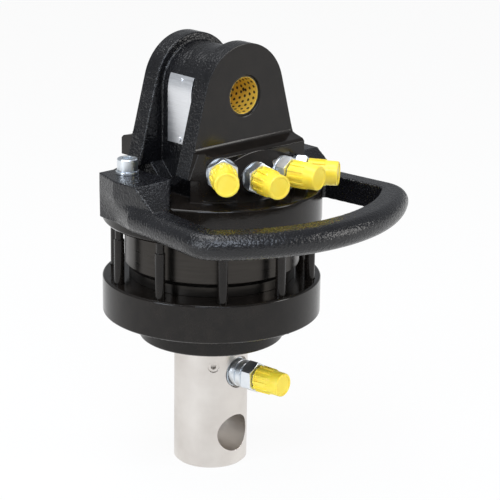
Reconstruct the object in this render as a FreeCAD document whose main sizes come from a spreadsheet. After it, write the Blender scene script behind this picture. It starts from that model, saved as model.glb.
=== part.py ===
import FreeCAD, Part
import math
import os

import Sketcher

# Hydraulic rotator for a loader crane, in millimetres, +Z up.
# Origin: centre of the shaft's lower end face. The hoses and the guard face -Y.
# The head pin lies along Y. The shaft, vanes and spindle turn about Z inside the head.

OUT_FOLDER = "parts"
V = FreeCAD.Vector

# Driving sizes: name, value, meaning
SIZE_TABLE = [
    ("shaft_d", 59.0, "lower shaft diameter"),
    ("shaft_chamfer", 2.0, "chamfer at the shaft's lower end"),
    ("shaft_reach", 105.5, "shaft end to the underside of the cover's hub"),
    ("eye_d", 30.5, "link pin eye through the shaft"),
    ("eye_height", 28.3, "eye centre above the shaft end"),
    ("hub_wall", 12.5, "cover hub's outside beyond the thrust bearing's pocket"),
    ("hub_height", 21.0, "cover hub height below the flange"),
    ("screw_channel", 17.5, "flange and head ring beyond the stator, room for the screws"),
    ("flange_thick", 30.5, "cover flange thickness"),
    ("edge_chamfer", 1.2, "turned edge chamfers"),
    ("hub_fillet", 3.0, "fillet where the hub meets the flange"),
    ("stator_wall", 17.0, "stator ring's outside beyond its chambers"),
    ("stator_foot_step", 3.5, "step in of the stator ring's foot"),
    ("stator_foot_height", 8.0, "height of the stator's narrower foot"),
    ("stator_height", 45.0, "stator ring height"),
    ("cam_land_gap", 0.6, "cam's sealing lands beyond the rotor"),
    ("cam_rise", 4.9, "depth of the cam's chambers beyond its lands"),
    ("ring_height", 29.5, "height of the head's turned ring"),
    ("rotor_d", 93.0, "vane rotor diameter"),
    ("rotor_gap", 0.3, "gap at each end face of the vane rotor"),
    ("vane_count", 8, "number of vanes"),
    ("vane_thick", 5.0, "vane slot width"),
    ("vane_clear", 0.05, "side clearance of a vane in its slot"),
    ("slot_depth", 12.5, "vane slot depth"),
    ("vane_length", 11.4, "radial length of a vane"),
    ("vane_tip_gap", 0.35, "vane tip to the cam's sealing lands, vanes pressed home"),
    ("spring_d", 4.0, "vane spring bore"),
    ("spring_depth", 7.0, "depth of a spring bore below the slot"),
    ("spring_spacing", 24.0, "spacing of the two springs under a vane"),
    ("spindle_d", 56.0, "swivel spindle diameter"),
    ("spindle_length", 68.0, "spindle above the stator"),
    ("spindle_end_gap", 2.0, "gap above the spindle's end"),
    ("run_clear", 0.05, "radial running clearance in the bushes"),
    ("bore_clear", 0.1, "radial clearance of the spindle in the head"),
    ("gallery_d", 7.0, "oil gallery diameter"),
    ("gallery_offset", 12.0, "shaft galleries from the axis"),
    ("groove_width", 9.0, "swivel oil groove width"),
    ("groove_depth", 3.0, "swivel oil groove depth"),
    ("upper_bush_wall", 3.0, "upper bush wall"),
    ("upper_bush_length", 20.0, "upper bush length"),
    ("seal_section", 3.5, "swivel seal radial section"),
    ("seal_height", 4.0, "swivel seal height"),
    ("lower_bush_wall", 4.0, "lower bush wall"),
    ("lower_bush_length", 16.0, "lower bush length"),
    ("shaft_seal_section", 8.0, "radial section of the shaft seal and wiper"),
    ("shaft_seal_height", 7.0, "shaft seal height"),
    ("wiper_height", 6.0, "wiper ring height"),
    ("seal_land", 2.0, "land between the wiper, the seal and the bush"),
    ("thrust_lip", 0.7, "thrust washer's edge beyond the collar"),
    ("thrust_bore_clear", 2.0, "thrust washer bore beyond the shaft"),
    ("thrust_washer_thick", 1.5, "thrust washer thickness"),
    ("roller_d", 4.0, "thrust roller diameter"),
    ("roller_margin", 2.1, "thrust washer beyond each end of a roller"),
    ("roller_count", 20, "thrust rollers"),
    ("roller_gap", 0.05, "gap of the rollers to each washer"),
    ("collar_step", 2.5, "shaft collar's edge inside the vane drum's"),
    ("collar_height", 3.0, "height of the shaft collar"),
    ("screw_count", 10, "cover screws"),
    ("screw_rim", 7.9, "cover screw centres inside the flange's edge"),
    ("screw_d", 8.0, "cover screw diameter"),
    ("screw_neck_d", 6.4, "waist of a cover screw under its thread"),
    ("screw_neck_drop", 9.0, "waist length below the head ring"),
    ("screw_head_d", 13.0, "cover screw head diameter"),
    ("screw_thread_length", 14.0, "cover screw thread in the head ring"),
    ("screw_clear", 0.3, "radial clearance round a screw or its head"),
    ("counterbore_depth", 9.0, "depth of the counterbores in the flange"),
    ("dowel_d", 6.0, "stator dowel diameter"),
    ("dowel_engage", 8.0, "dowel length in the cover and in the head"),
    ("oring_d", 2.6, "stator O-ring section"),
    ("oring_wall", 1.3, "wall between the chambers and the O-ring groove"),
    ("drum_step", 20.5, "port drum's side inside the head ring's"),
    ("drum_side_height", 20.5, "height of the drum's straight side"),
    ("drum_slope", 16.0, "how far the drum's top edge draws in"),
    ("drum_height", 33.5, "drum height on the head ring"),
    ("waist_step", 20.0, "head's waist under the ears inside the drum's side"),
    ("pin_height", 74.5, "head pin centre above the head ring"),
    ("pin_d", 28.0, "head pin bore"),
    ("pin_bush_wall", 1.5, "head bush wall"),
    ("pin_bush_length", 30.0, "length of each head bush"),
    ("pin_chamfer", 0.8, "chamfer at the mouths of the head pin bore"),
    ("pin_bush_recess", 1.5, "head bush below the ear face"),
    ("ear_spread", 72.5, "outer faces of the two ears"),
    ("ear_thick", 15.5, "ear thickness"),
    ("ear_rim", 6.2, "ear's arch beyond the hub's"),
    ("ear_splay", 23.3, "ear's foot beyond the hub's side"),
    ("ear_base_height", 17.5, "ear base above the head ring"),
    ("ear_round", 1.5, "rounding of the ears' inner edges"),
    ("web_wall", 2.45, "hub wall beyond the swivel seals"),
    ("floor_height", 7.0, "floor beside the hub, above the head ring"),
    ("floor_ramp", 11.5, "ramp where the floor meets the ears"),
    ("ledge_inset", 6.3, "ledge ends inside the ears' feet"),
    ("ledge_reach", 50.0, "ledge faces from the axis"),
    ("ledge_top", 38.0, "ledge top above the head ring"),
    ("ledge_drop", 17.5, "ledge height"),
    ("ledge_fillet", 3.0, "fillet between the ear face and the ledge"),
    ("ledge_slope", 2.2, "fall of the ledge's top towards its edge"),
    ("ledge_edge", 2.0, "bevel along the ledge's edge"),
    ("port_inner_angle", 12.0, "inner ports from straight ahead"),
    ("port_outer_angle", 36.0, "outer ports from straight ahead"),
    ("port_seat_cut", 2.0, "depth of a port seat in the drum"),
    ("port_seat_d", 26.0, "port seat diameter"),
    ("port_thread_d", 16.0, "port thread diameter"),
    ("port_thread_depth", 13.0, "port thread depth"),
    ("port_left_height", 23.5, "left outer port above the head ring"),
    ("port_mid_height", 18.5, "inner ports above the head ring"),
    ("port_right_height", 12.3, "right outer port above the head ring"),
    ("feed_inset", 3.0, "motor feed galleries inside the chambers' reach"),
    ("washer_d", 23.8, "bonded washer diameter"),
    ("washer_thick", 2.0, "bonded washer thickness"),
    ("fitting_hex", 22.0, "adapter across its flats"),
    ("fitting_hex_length", 9.0, "adapter hexagon length"),
    ("fitting_neck_d", 16.4, "adapter's free thread diameter"),
    ("fitting_neck_length", 13.0, "adapter's free thread length"),
    ("fitting_bore_d", 9.0, "adapter bore"),
    ("cap_length", 24.0, "thread cap length"),
    ("cap_grip_d", 21.6, "thread cap diameter at its ribs"),
    ("cap_grip_length", 16.0, "ribbed length of a thread cap"),
    ("cap_nose_d", 19.2, "thread cap nose diameter"),
    ("cap_ribs", 12, "ribs on a thread cap"),
    ("cap_rib_d", 3.0, "rib groove diameter"),
    ("cap_fit", 0.1, "thread cap to the adapter thread"),
    ("shaft_port_height", 79.0, "shaft ports above the shaft end"),
    ("shaft_port_angle", 8.0, "shaft ports from straight ahead"),
    ("shaft_port_cut", 5.0, "depth of a shaft port seat"),
    ("shaft_body_d", 22.5, "round body of a shaft adapter"),
    ("shaft_body_length", 12.0, "length of that round body"),
    ("shaft_hex_length", 11.0, "shaft adapter hexagon length"),
    ("shaft_cap_d", 20.0, "shaft thread cap diameter"),
    ("shaft_cap_length", 26.0, "shaft thread cap length"),
    ("plug_d", 9.0, "gallery plug diameter"),
    ("plug_height", 86.6, "side plug above the shaft end"),
    ("plug_angle", 38.0, "side plug from straight ahead, towards the left"),
    ("plug_depth", 8.0, "side plug bore depth"),
    ("plug_sink", 1.2, "plug face below the surface"),
    ("guard_room", 46.0, "inside of the guard's front bow beyond the head ring"),
    ("guard_flat", 13.2, "flat width on top of the guard bar"),
    ("guard_bulge", 8.0, "how far the bar's round face stands out"),
    ("guard_depth", 20.0, "guard bar height"),
    ("guard_corner", 9.5, "inside corner radius of the guard"),
    ("guard_arm_inset", 6.0, "inside of a guard arm's root inside the ring's edge"),
    ("guard_arm_y", 20.0, "arm root ahead of the axis"),
    ("guard_flare", 6.4, "how far the arms open, in degrees"),
    ("guard_fit", 0.3, "guard feet to the head ring's side"),
    ("lug_seat", 27.5, "how far a guard lug reaches in over the ring"),
    ("lug_flush", 2.3, "guard lug's outer side beyond the bar's flat top"),
    ("lug_front", 20.0, "guard lug, front of its top ahead of the axis"),
    ("lug_back", 32.0, "guard lug, back behind the axis"),
    ("lug_slope", 22.0, "length of the lug's sloping front"),
    ("lug_thick", 15.5, "lug thickness on the head ring"),
    ("lug_round", 2.0, "rounding of the lug's outer edges"),
    ("guard_screw_inset", 13.5, "guard screw inside the ring's edge"),
    ("guard_screw_y", 16.0, "guard screw behind the axis"),
    ("guard_screw_d", 10.0, "guard screw diameter"),
    ("guard_screw_head_d", 16.0, "guard screw head diameter"),
    ("guard_screw_head", 10.0, "guard screw head height"),
    ("guard_screw_hex", 8.0, "guard screw socket across its flats"),
    ("guard_screw_grip", 12.0, "guard screw thread in the head ring"),
    ("lock_washer_d", 18.0, "guard lock washer diameter"),
    ("lock_washer_thick", 2.2, "guard lock washer thickness"),
    ("plate_width", 27.0, "type plate width"),
    ("plate_bottom", 39.0, "type plate's lower edge below the pin"),
    ("plate_top", 14.0, "type plate's upper edge above the pin"),
    ("plate_thick", 0.8, "type plate thickness"),
    ("rivet_d", 2.4, "type plate rivet shank"),
    ("rivet_head_d", 4.2, "type plate rivet head"),
    ("rivet_inset", 3.5, "lower rivet from the plate's edge"),
    ("rivet_tilt", 17.0, "upper rivet round the hub's side, in degrees"),
    ("rivet_length", 5.0, "rivet shank length"),
]


class Size:
    """A number together with the sheet expression that gives it."""

    def __init__(self, number, words):
        self.number = float(number)
        self.words = words

    def _with(self, other, sign, number):
        other = as_size(other)
        return Size(number(self.number, other.number), "(" + self.words + sign + other.words + ")")

    def __add__(self, other):
        return self._with(other, " + ", lambda a, b: a + b)

    def __radd__(self, other):
        return as_size(other) + self

    def __sub__(self, other):
        return self._with(other, " - ", lambda a, b: a - b)

    def __rsub__(self, other):
        return as_size(other) - self

    def __mul__(self, other):
        return self._with(other, " * ", lambda a, b: a * b)

    def __rmul__(self, other):
        return as_size(other) * self

    def __truediv__(self, other):
        return self._with(other, " / ", lambda a, b: a / b)

    def __neg__(self):
        return as_size(0) - self


def as_size(value):
    if isinstance(value, Size):
        return value
    return Size(value, "(" + repr(float(value)) + ")")


def cos_of(angle):
    return Size(math.cos(math.radians(angle.number)), "cos(" + angle.words + ")")


def sin_of(angle):
    return Size(math.sin(math.radians(angle.number)), "sin(" + angle.words + ")")


def root_of(value):
    return Size(math.sqrt(value.number), "sqrt(" + value.words + ")")


# The document and its sheet of sizes
doc = FreeCAD.newDocument("HydraulicRotator")
sheet = doc.addObject("Spreadsheet::Sheet", "Sizes")


class Named:
    """Holds one attribute per size."""


d = Named()
for row, (name, value, meaning) in enumerate(SIZE_TABLE, start=1):
    sheet.set("A%d" % row, name)
    sheet.set("B%d" % row, repr(value))
    sheet.set("C%d" % row, meaning)
    sheet.setAlias("B%d" % row, name)
    setattr(d, name, Size(value, "Sizes." + name))
doc.recompute()

# Radii, worked outwards from the shaft, the spindle and the vane rotor
SHAFT_R = d.shaft_d / 2
SPINDLE_R = d.spindle_d / 2
ROTOR_R = d.rotor_d / 2
SEAL_R = SPINDLE_R + d.run_clear + d.seal_section
CAM_MINOR = ROTOR_R + d.cam_land_gap
CAM_MAJOR = CAM_MINOR + d.cam_rise
STATOR_R = CAM_MAJOR + d.stator_wall
FOOT_R = STATOR_R - d.stator_foot_step
ORING_R = CAM_MAJOR + d.oring_wall + d.oring_d / 2
DOWEL_R = (ORING_R + d.oring_d / 2 + FOOT_R) / 2
FLANGE_R = STATOR_R + d.screw_channel
SCREW_R = FLANGE_R - d.screw_rim
COLLAR_R = ROTOR_R - d.collar_step
THRUST_R = COLLAR_R + d.thrust_lip
THRUST_BORE = SHAFT_R + d.thrust_bore_clear
ROLLER_LENGTH = THRUST_R - THRUST_BORE - 2 * d.roller_margin
COVER_POCKET = THRUST_R + 0.3
HUB_R = COVER_POCKET + d.hub_wall
FEED_R = CAM_MAJOR - d.feed_inset
SHAFT_SEAT = SHAFT_R - d.shaft_port_cut

# Sizes of the head and of the guard
DRUM_R = FLANGE_R - d.drum_step
DRUM_TOP_R = DRUM_R - d.drum_slope
PORT_SEAT = DRUM_R - d.port_seat_cut
WAIST_HALF = DRUM_R - d.waist_step
WEB_HALF = SEAL_R + d.web_wall
EAR_ARCH_R = WEB_HALF + d.ear_rim
EAR_BASE_HALF = WEB_HALF + d.ear_splay
LEDGE_HALF = EAR_BASE_HALF - d.ledge_inset
GUARD_R = FLANGE_R + d.guard_room
ARM_X = FLANGE_R - d.guard_arm_inset
LUG_INNER = FLANGE_R - d.lug_seat
LUG_OUTER = ARM_X + d.guard_flat + d.lug_flush
GUARD_SCREW_X = FLANGE_R - d.guard_screw_inset

# Levels above the shaft end
HUB_BOTTOM = d.shaft_reach
FLANGE_BOTTOM = HUB_BOTTOM + d.hub_height
FLANGE_TOP = FLANGE_BOTTOM + d.flange_thick
STATOR_TOP = FLANGE_TOP + d.stator_height
RING_TOP = STATOR_TOP + d.ring_height
PIN_Z = RING_TOP + d.pin_height
SPINDLE_TOP = STATOR_TOP + d.spindle_length
ROTOR_BOTTOM = FLANGE_TOP + d.rotor_gap
ROTOR_TOP = STATOR_TOP - d.rotor_gap
COLLAR_BOTTOM = ROTOR_BOTTOM - d.collar_height
ROLLER_ROOM = d.roller_d + 2 * d.roller_gap
THRUST_SEAT = COLLAR_BOTTOM - 2 * d.thrust_washer_thick - ROLLER_ROOM
PORT_LEFT_Z = RING_TOP + d.port_left_height
PORT_MID_Z = RING_TOP + d.port_mid_height
PORT_RIGHT_Z = RING_TOP + d.port_right_height

# The four head ports: angle from straight ahead towards +X, and height
HEAD_PORTS = [
    (-d.port_outer_angle, PORT_LEFT_Z),
    (-d.port_inner_angle, PORT_MID_Z),
    (d.port_inner_angle, PORT_MID_Z),
    (d.port_outer_angle, PORT_RIGHT_Z),
]
# The two shaft ports; the second one stands behind the shaft, opposite the side plug
SHAFT_PORTS = [
    (d.shaft_port_angle, d.shaft_port_height),
    (180 - d.plug_angle, d.shaft_port_height),
]

bodies = []


def new_body(label, several=False):
    body = doc.addObject("PartDesign::Body", label)
    body.Label = label
    body.AllowCompound = several
    bodies.append(body)
    return body


def origin_feature(body, role):
    for feature in body.Origin.OriginFeatures:
        if feature.Role == role:
            return feature
    raise ValueError(role)


def new_sketch(body, role, offset=None):
    """A sketch on one of the body's own origin planes, moved along the plane's normal."""
    sketch = body.newObject("Sketcher::SketchObject", body.Label + "_sketch")
    sketch.AttachmentSupport = (origin_feature(body, role), [""])
    sketch.MapMode = "FlatFace"
    if offset is not None:
        sketch.setExpression("AttachmentOffset.Base.z", as_size(offset).words)
    return sketch


def radial_sketch(body, angle, height, reach):
    """A sketch that faces outwards at an angle from straight ahead, at a height and a radius."""
    sketch = new_sketch(body, "XZ_Plane")
    sketch.AttachmentOffset = FreeCAD.Placement(V(0, 0, 0), FreeCAD.Rotation(V(0, 1, 0), angle.number))
    sketch.setExpression("AttachmentOffset.Base.x", (reach * sin_of(angle)).words)
    sketch.setExpression("AttachmentOffset.Base.y", height.words)
    sketch.setExpression("AttachmentOffset.Base.z", (reach * cos_of(angle)).words)
    return sketch


def rivet_sketch(body, tilt, height, reach):
    """A sketch that faces the hub from its left side, tilted up about a point on the middle plane."""
    sketch = new_sketch(body, "YZ_Plane")
    sketch.AttachmentOffset = FreeCAD.Placement(V(0, 0, 0), FreeCAD.Rotation(V(1, 0, 0), tilt.number))
    sketch.setExpression("AttachmentOffset.Base.y", (height + reach * sin_of(tilt)).words)
    sketch.setExpression("AttachmentOffset.Base.z", (-(reach * cos_of(tilt))).words)
    return sketch


def bind(sketch, constraint, value):
    index = sketch.addConstraint(constraint)
    sketch.setExpression("Constraints[%d]" % index, as_size(value).words)


def place_point(sketch, edge, end, x, y):
    """Fixes a point of an edge at x, y from the sketch's origin."""
    x = as_size(x)
    y = as_size(y)
    bind(sketch, Sketcher.Constraint("DistanceX", edge, end, x.number), x)
    bind(sketch, Sketcher.Constraint("DistanceY", edge, end, y.number), y)


def circle(sketch, radius, x=0, y=0):
    x = as_size(x)
    y = as_size(y)
    centre = V(x.number, y.number, 0)
    edge = sketch.addGeometry(Part.Circle(centre, V(0, 0, 1), radius.number))
    bind(sketch, Sketcher.Constraint("Radius", edge, radius.number), radius)
    place_point(sketch, edge, 3, x, y)
    return edge


def polygon(sketch, corners):
    """A closed outline of straight edges through corners, each a pair of sizes."""
    corners = [(as_size(x), as_size(y)) for x, y in corners]
    points = [V(x.number, y.number, 0) for x, y in corners]
    edges = []
    for start, end in zip(points, points[1:] + points[:1]):
        edges.append(sketch.addGeometry(Part.LineSegment(start, end)))
    for edge, following in zip(edges, edges[1:] + edges[:1]):
        sketch.addConstraint(Sketcher.Constraint("Coincident", edge, 2, following, 1))
    for edge, (x, y) in zip(edges, corners):
        place_point(sketch, edge, 1, x, y)
    return edges


def hexagon(sketch, across_flats, x=0, y=0):
    x = as_size(x)
    y = as_size(y)
    corner = across_flats / (2 * cos_of(as_size(30)))
    corners = []
    for turn in range(6):
        angle = as_size(60 * turn)
        corners.append((x + corner * sin_of(angle), y + corner * cos_of(angle)))
    return polygon(sketch, corners)


def arch(sketch, radius, centre_z, foot_half, foot_z, close_z=None):
    """An outline round the pin: an arc over it, sides tangent to the arc down to the foot.

    With close_z the outline runs straight down from the foot to that level.
    """
    reach = root_of(foot_half * foot_half + (centre_z - foot_z) * (centre_z - foot_z))
    slant = math.atan2(foot_z.number - centre_z.number, foot_half.number)
    tangent = slant + math.acos(radius.number / reach.number)
    tangent_x = radius.number * math.cos(tangent)
    tangent_z = centre_z.number + radius.number * math.sin(tangent)
    centre = V(0, centre_z.number, 0)
    foot = V(foot_half.number, foot_z.number, 0)
    touch = V(tangent_x, tangent_z, 0)
    mirrored_touch = V(-tangent_x, tangent_z, 0)
    mirrored_foot = V(-foot_half.number, foot_z.number, 0)
    full = Part.Circle(centre, V(0, 0, 1), radius.number)
    over = sketch.addGeometry(Part.ArcOfCircle(full, tangent, math.pi - tangent))
    right = sketch.addGeometry(Part.LineSegment(foot, touch))
    left = sketch.addGeometry(Part.LineSegment(mirrored_touch, mirrored_foot))
    base = sketch.addGeometry(Part.LineSegment(mirrored_foot, foot))
    sketch.addConstraint(Sketcher.Constraint("Tangent", right, 2, over, 1))
    sketch.addConstraint(Sketcher.Constraint("Tangent", over, 2, left, 1))
    sketch.addConstraint(Sketcher.Constraint("Coincident", left, 2, base, 1))
    sketch.addConstraint(Sketcher.Constraint("Coincident", base, 2, right, 1))
    bind(sketch, Sketcher.Constraint("Radius", over, radius.number), radius)
    place_point(sketch, over, 3, 0, centre_z)
    place_point(sketch, base, 1, -foot_half, foot_z)
    place_point(sketch, base, 2, foot_half, foot_z)


def pad(body, sketch, length, sides="One side", reverse=False):
    feature = body.newObject("PartDesign::Pad", body.Label + "_pad")
    feature.Profile = sketch
    feature.SideType = sides
    feature.Reversed = reverse
    feature.setExpression("Length", as_size(length).words)
    sketch.Visibility = False
    return feature


def pocket(body, sketch, length, sides="One side", reverse=False):
    """Cuts against the sketch's normal, or along it when reversed; must take material away."""
    doc.recompute()
    before = body.Shape.Volume
    feature = body.newObject("PartDesign::Pocket", body.Label + "_pocket")
    feature.Profile = sketch
    feature.SideType = sides
    feature.Reversed = reverse
    feature.setExpression("Length", as_size(length).words)
    doc.recompute()
    if not body.Shape.Volume < before - 1e-3:
        raise RuntimeError(feature.Name + " cuts nothing")
    return feature


def turned(body, sketch, axis="V_Axis"):
    feature = body.newObject("PartDesign::Revolution", body.Label + "_turned")
    feature.Profile = sketch
    feature.ReferenceAxis = (sketch, [axis])
    feature.Angle = 360
    return feature


def turned_outline(body, corners):
    """A body of revolution about Z from radius and height pairs."""
    sketch = new_sketch(body, "XZ_Plane")
    polygon(sketch, corners)
    return turned(body, sketch)


def grooved(body, corners):
    """Cuts a turned groove about Z; must take material away."""
    doc.recompute()
    before = body.Shape.Volume
    sketch = new_sketch(body, "XZ_Plane")
    polygon(sketch, corners)
    feature = body.newObject("PartDesign::Groove", body.Label + "_groove")
    feature.Profile = sketch
    feature.ReferenceAxis = (sketch, ["V_Axis"])
    feature.Angle = 360
    doc.recompute()
    if not body.Shape.Volume < before - 1e-3:
        raise RuntimeError(feature.Name + " cuts nothing")
    return feature


def round_about(body, features, count):
    """Repeats features evenly about Z."""
    pattern = body.newObject("PartDesign::PolarPattern", body.Label + "_pattern")
    pattern.Originals = features
    pattern.Axis = (origin_feature(body, "Z_Axis"), [""])
    pattern.Angle = 360
    pattern.setExpression("Occurrences", as_size(count).words)
    body.Tip = pattern
    return pattern


def mirrored(body, features, role):
    mirror = body.newObject("PartDesign::Mirrored", body.Label + "_mirror")
    mirror.Originals = features
    mirror.MirrorPlane = (origin_feature(body, role), [""])
    body.Tip = mirror
    return mirror


def edges_where(body, test):
    """Names of the body's edges whose shape passes the test."""
    doc.recompute()
    names = []
    for number, edge in enumerate(body.Shape.Edges, start=1):
        if test(edge):
            names.append("Edge%d" % number)
    if not names:
        raise RuntimeError(body.Label + " has no such edge")
    return names


def dress(body, kind, size, names, keep="Radius"):
    base = body.Tip
    feature = body.newObject("PartDesign::" + kind, body.Label + "_" + kind.lower())
    feature.Base = (base, names)
    feature.setExpression(keep, as_size(size).words)
    doc.recompute()
    return feature


def ring_body(label, inner, outer, bottom, height):
    """A plain turned ring, such as a bush or a washer."""
    body = new_body(label)
    top = bottom + height
    turned_outline(body, [(inner, bottom), (outer, bottom), (outer, top), (inner, top)])
    return body


def is_level_circle(edge, radius, height):
    """True for a level circle of this radius at this height, wherever its centre is."""
    curve = edge.Curve
    if not isinstance(curve, Part.Circle):
        return False
    return abs(curve.Radius - radius) < 1e-4 and abs(curve.Center.z - height) < 1e-4


# Head casting: turned ring, port drum, two ears with the hub between them, ledges
UPPER_BUSH_R = SPINDLE_R + d.run_clear + d.upper_bush_wall
EAR_FACE = d.ear_spread / 2
EAR_INSIDE = EAR_FACE - d.ear_thick
EAR_BASE_Z = RING_TOP + d.ear_base_height
# Type plate rivets: tilt above the level, and height of the point they are turned about
RIVET_PLACES = [
    (as_size(0), PIN_Z - d.plate_bottom + d.rivet_inset),
    (d.rivet_tilt, PIN_Z),
]
SEAL_LEVELS = [
    STATOR_TOP + d.upper_bush_length + d.seal_height,
    (PORT_LEFT_Z + PORT_RIGHT_Z) / 2 - d.seal_height / 2,
    PORT_LEFT_Z + d.groove_width / 2 + d.seal_height / 2,
]


def build_head_casting():
    body = new_body("head_casting")
    ring = FLANGE_R
    cut = d.edge_chamfer
    side = RING_TOP + d.drum_side_height
    outline = [
        (0, STATOR_TOP),
        (ring - 2 * cut, STATOR_TOP),
        (ring, STATOR_TOP + 2 * cut),
        (ring, RING_TOP - cut),
        (ring - cut, RING_TOP),
        (DRUM_R, RING_TOP),
        (DRUM_R, side),
        (DRUM_TOP_R, RING_TOP + d.drum_height),
        (0, RING_TOP + d.drum_height),
    ]
    turned_outline(body, outline)

    # Both sides of the drum are open under the ears, where the guard's lugs sit
    for way in (1, -1):
        recess = new_sketch(body, "XY_Plane", RING_TOP)
        near = WAIST_HALF * way
        far = 2 * DRUM_R * way
        polygon(recess, [(near, -EAR_FACE), (far, -EAR_FACE), (far, EAR_FACE), (near, EAR_FACE)])
        pocket(body, recess, d.drum_height + 1, reverse=True)

    # One arched block gives the two ears
    outside = new_sketch(body, "XZ_Plane")
    arch(outside, EAR_ARCH_R, PIN_Z, EAR_BASE_HALF, EAR_BASE_Z)
    pad(body, outside, d.ear_spread, "Symmetric")

    # Ledges under the two ear faces, sloping down and outwards from a cast fillet
    bottom = RING_TOP + d.ledge_top - d.ledge_drop
    top = RING_TOP + d.ledge_top
    edge = d.ledge_edge
    bend = d.ledge_fillet
    for way in (1, -1):
        ledge = new_sketch(body, "YZ_Plane")
        corners = [
            ((EAR_FACE - 1) * way, bottom),
            (d.ledge_reach * way, bottom),
            (d.ledge_reach * way, top - d.ledge_slope - edge),
            ((d.ledge_reach - edge) * way, top - d.ledge_slope),
            ((EAR_FACE + bend) * way, top),
            ((EAR_FACE + bend * 0.3) * way, top + bend * 0.3),
            (EAR_FACE * way, top + bend),
            ((EAR_FACE - 1) * way, top + bend),
        ]
        polygon(ledge, corners)
        pad(body, ledge, 2 * LEDGE_HALF, "Symmetric")

    # On the left the front ledge runs out flush with the side of the ear
    flush = new_sketch(body, "XZ_Plane", EAR_FACE - 1)
    slant = (EAR_BASE_HALF - LEDGE_HALF) * 0.88
    block = [
        (-EAR_BASE_HALF, EAR_BASE_Z),
        (-LEDGE_HALF + 4, EAR_BASE_Z),
        (-LEDGE_HALF + 4, top),
        (slant - EAR_BASE_HALF, top),
    ]
    polygon(flush, block)
    pad(body, flush, d.ledge_reach - EAR_FACE)

    # The space between the ears on both sides of the hub
    beyond = EAR_BASE_HALF + EAR_ARCH_R
    over = PIN_Z + beyond
    floor = RING_TOP + d.floor_height
    between = new_sketch(body, "XZ_Plane")
    polygon(between, [(-beyond, floor), (beyond, floor), (beyond, over), (-beyond, over)])
    arch(between, WEB_HALF, PIN_Z, WEB_HALF + 0.01, floor + 0.01)
    pocket(body, between, 2 * EAR_INSIDE, "Symmetric")

    # Ramps from the floor up to the inner faces of the ears
    for way in (1, -1):
        ramp = new_sketch(body, "YZ_Plane")
        wall = EAR_INSIDE * way
        foot = (EAR_INSIDE - d.floor_ramp) * way
        polygon(ramp, [(wall, floor), (wall, floor + d.floor_ramp), (foot, floor)])
        pad(body, ramp, 2 * WAIST_HALF, "Symmetric")

    # Bore for the spindle, with seats for the bush and the swivel seals
    bore = SPINDLE_R + d.bore_clear
    bore_top = SPINDLE_TOP + d.spindle_end_gap
    bush_top = STATOR_TOP + d.upper_bush_length
    bore_outline = [(0, STATOR_TOP), (UPPER_BUSH_R, STATOR_TOP), (UPPER_BUSH_R, bush_top)]
    bore_outline.append((bore, bush_top))
    bore_outline.append((bore, bore_top))
    bore_outline.append((0, bore_top))
    grooved(body, bore_outline)
    for level in SEAL_LEVELS:
        top = level + d.seal_height
        grooved(body, [(bore - 1, level), (SEAL_R, level), (SEAL_R, top), (bore - 1, top)])

    # Bore for the head pin's bushes, through both ears and the hub
    pin = new_sketch(body, "XZ_Plane")
    circle(pin, d.pin_d / 2 + d.pin_bush_wall, 0, PIN_Z)
    pocket(body, pin, 2 * d.ear_spread, "Symmetric")

    pin_edge = (d.pin_d / 2 + d.pin_bush_wall).number
    ear_face = EAR_FACE.number

    def at_pin_mouth(edge):
        curve = edge.Curve
        if not isinstance(curve, Part.Circle):
            return False
        return abs(curve.Radius - pin_edge) < 1e-4 and abs(abs(curve.Center.y) - ear_face) < 1e-4

    dress(body, "Chamfer", d.pin_chamfer, edges_where(body, at_pin_mouth), "Size")

    # Rivet holes of the type plate
    rivet_foot = WEB_HALF + d.plate_thick - d.rivet_length
    for angle, height in RIVET_PLACES:
        hole = rivet_sketch(body, angle, height, rivet_foot)
        circle(hole, d.rivet_d / 2)
        pocket(body, hole, 2 * d.rivet_length)

    # A flat across the left port takes the ledge's corner away
    angle, height = HEAD_PORTS[0]
    flat = radial_sketch(body, angle, height, PORT_SEAT)
    near = d.port_seat_d / 2
    low = RING_TOP + 1.5 - height
    high = d.ledge_top
    polygon(flat, [(-PORT_SEAT, low), (near, low), (near, high), (-PORT_SEAT, high)])
    pocket(body, flat, PORT_SEAT, reverse=True)

    # Seats, threads and galleries of the four ports
    for number, (angle, height) in enumerate(HEAD_PORTS):
        if number:
            seat = radial_sketch(body, angle, height, PORT_SEAT)
            circle(seat, d.port_seat_d / 2)
            pocket(body, seat, PORT_SEAT, reverse=True)
        thread = radial_sketch(body, angle, height, PORT_SEAT)
        circle(thread, d.port_thread_d / 2)
        pocket(body, thread, d.port_thread_depth)
        gallery = radial_sketch(body, angle, height, PORT_SEAT)
        circle(gallery, d.gallery_d / 2)
        motor_feed = number in (1, 2)
        inside = FEED_R if motor_feed else SPINDLE_R
        pocket(body, gallery, PORT_SEAT - inside)
        if motor_feed:
            down = new_sketch(body, "XY_Plane", STATOR_TOP)
            circle(down, d.gallery_d / 2, FEED_R * sin_of(angle), -FEED_R * cos_of(angle))
            pocket(body, down, height - STATOR_TOP, reverse=True)

    # Threaded holes for the cover screws, the dowels and the guard screws
    screw = new_sketch(body, "XY_Plane", STATOR_TOP)
    circle(screw, d.screw_d / 2, 0, -SCREW_R)
    first = pocket(body, screw, d.screw_thread_length + 1, reverse=True)
    round_about(body, [first], d.screw_count)
    for way in (1, -1):
        dowel = new_sketch(body, "XY_Plane", STATOR_TOP)
        circle(dowel, d.dowel_d / 2, 0, DOWEL_R * way)
        pocket(body, dowel, d.dowel_engage, reverse=True)
        guard = new_sketch(body, "XY_Plane", RING_TOP)
        circle(guard, d.guard_screw_d / 2, GUARD_SCREW_X * way, d.guard_screw_y)
        pocket(body, guard, d.guard_screw_grip + 1)

    # Rounded edges on the ears' inner sides
    inside = EAR_INSIDE.number
    arch_low = EAR_BASE_Z.number + 12

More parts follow.
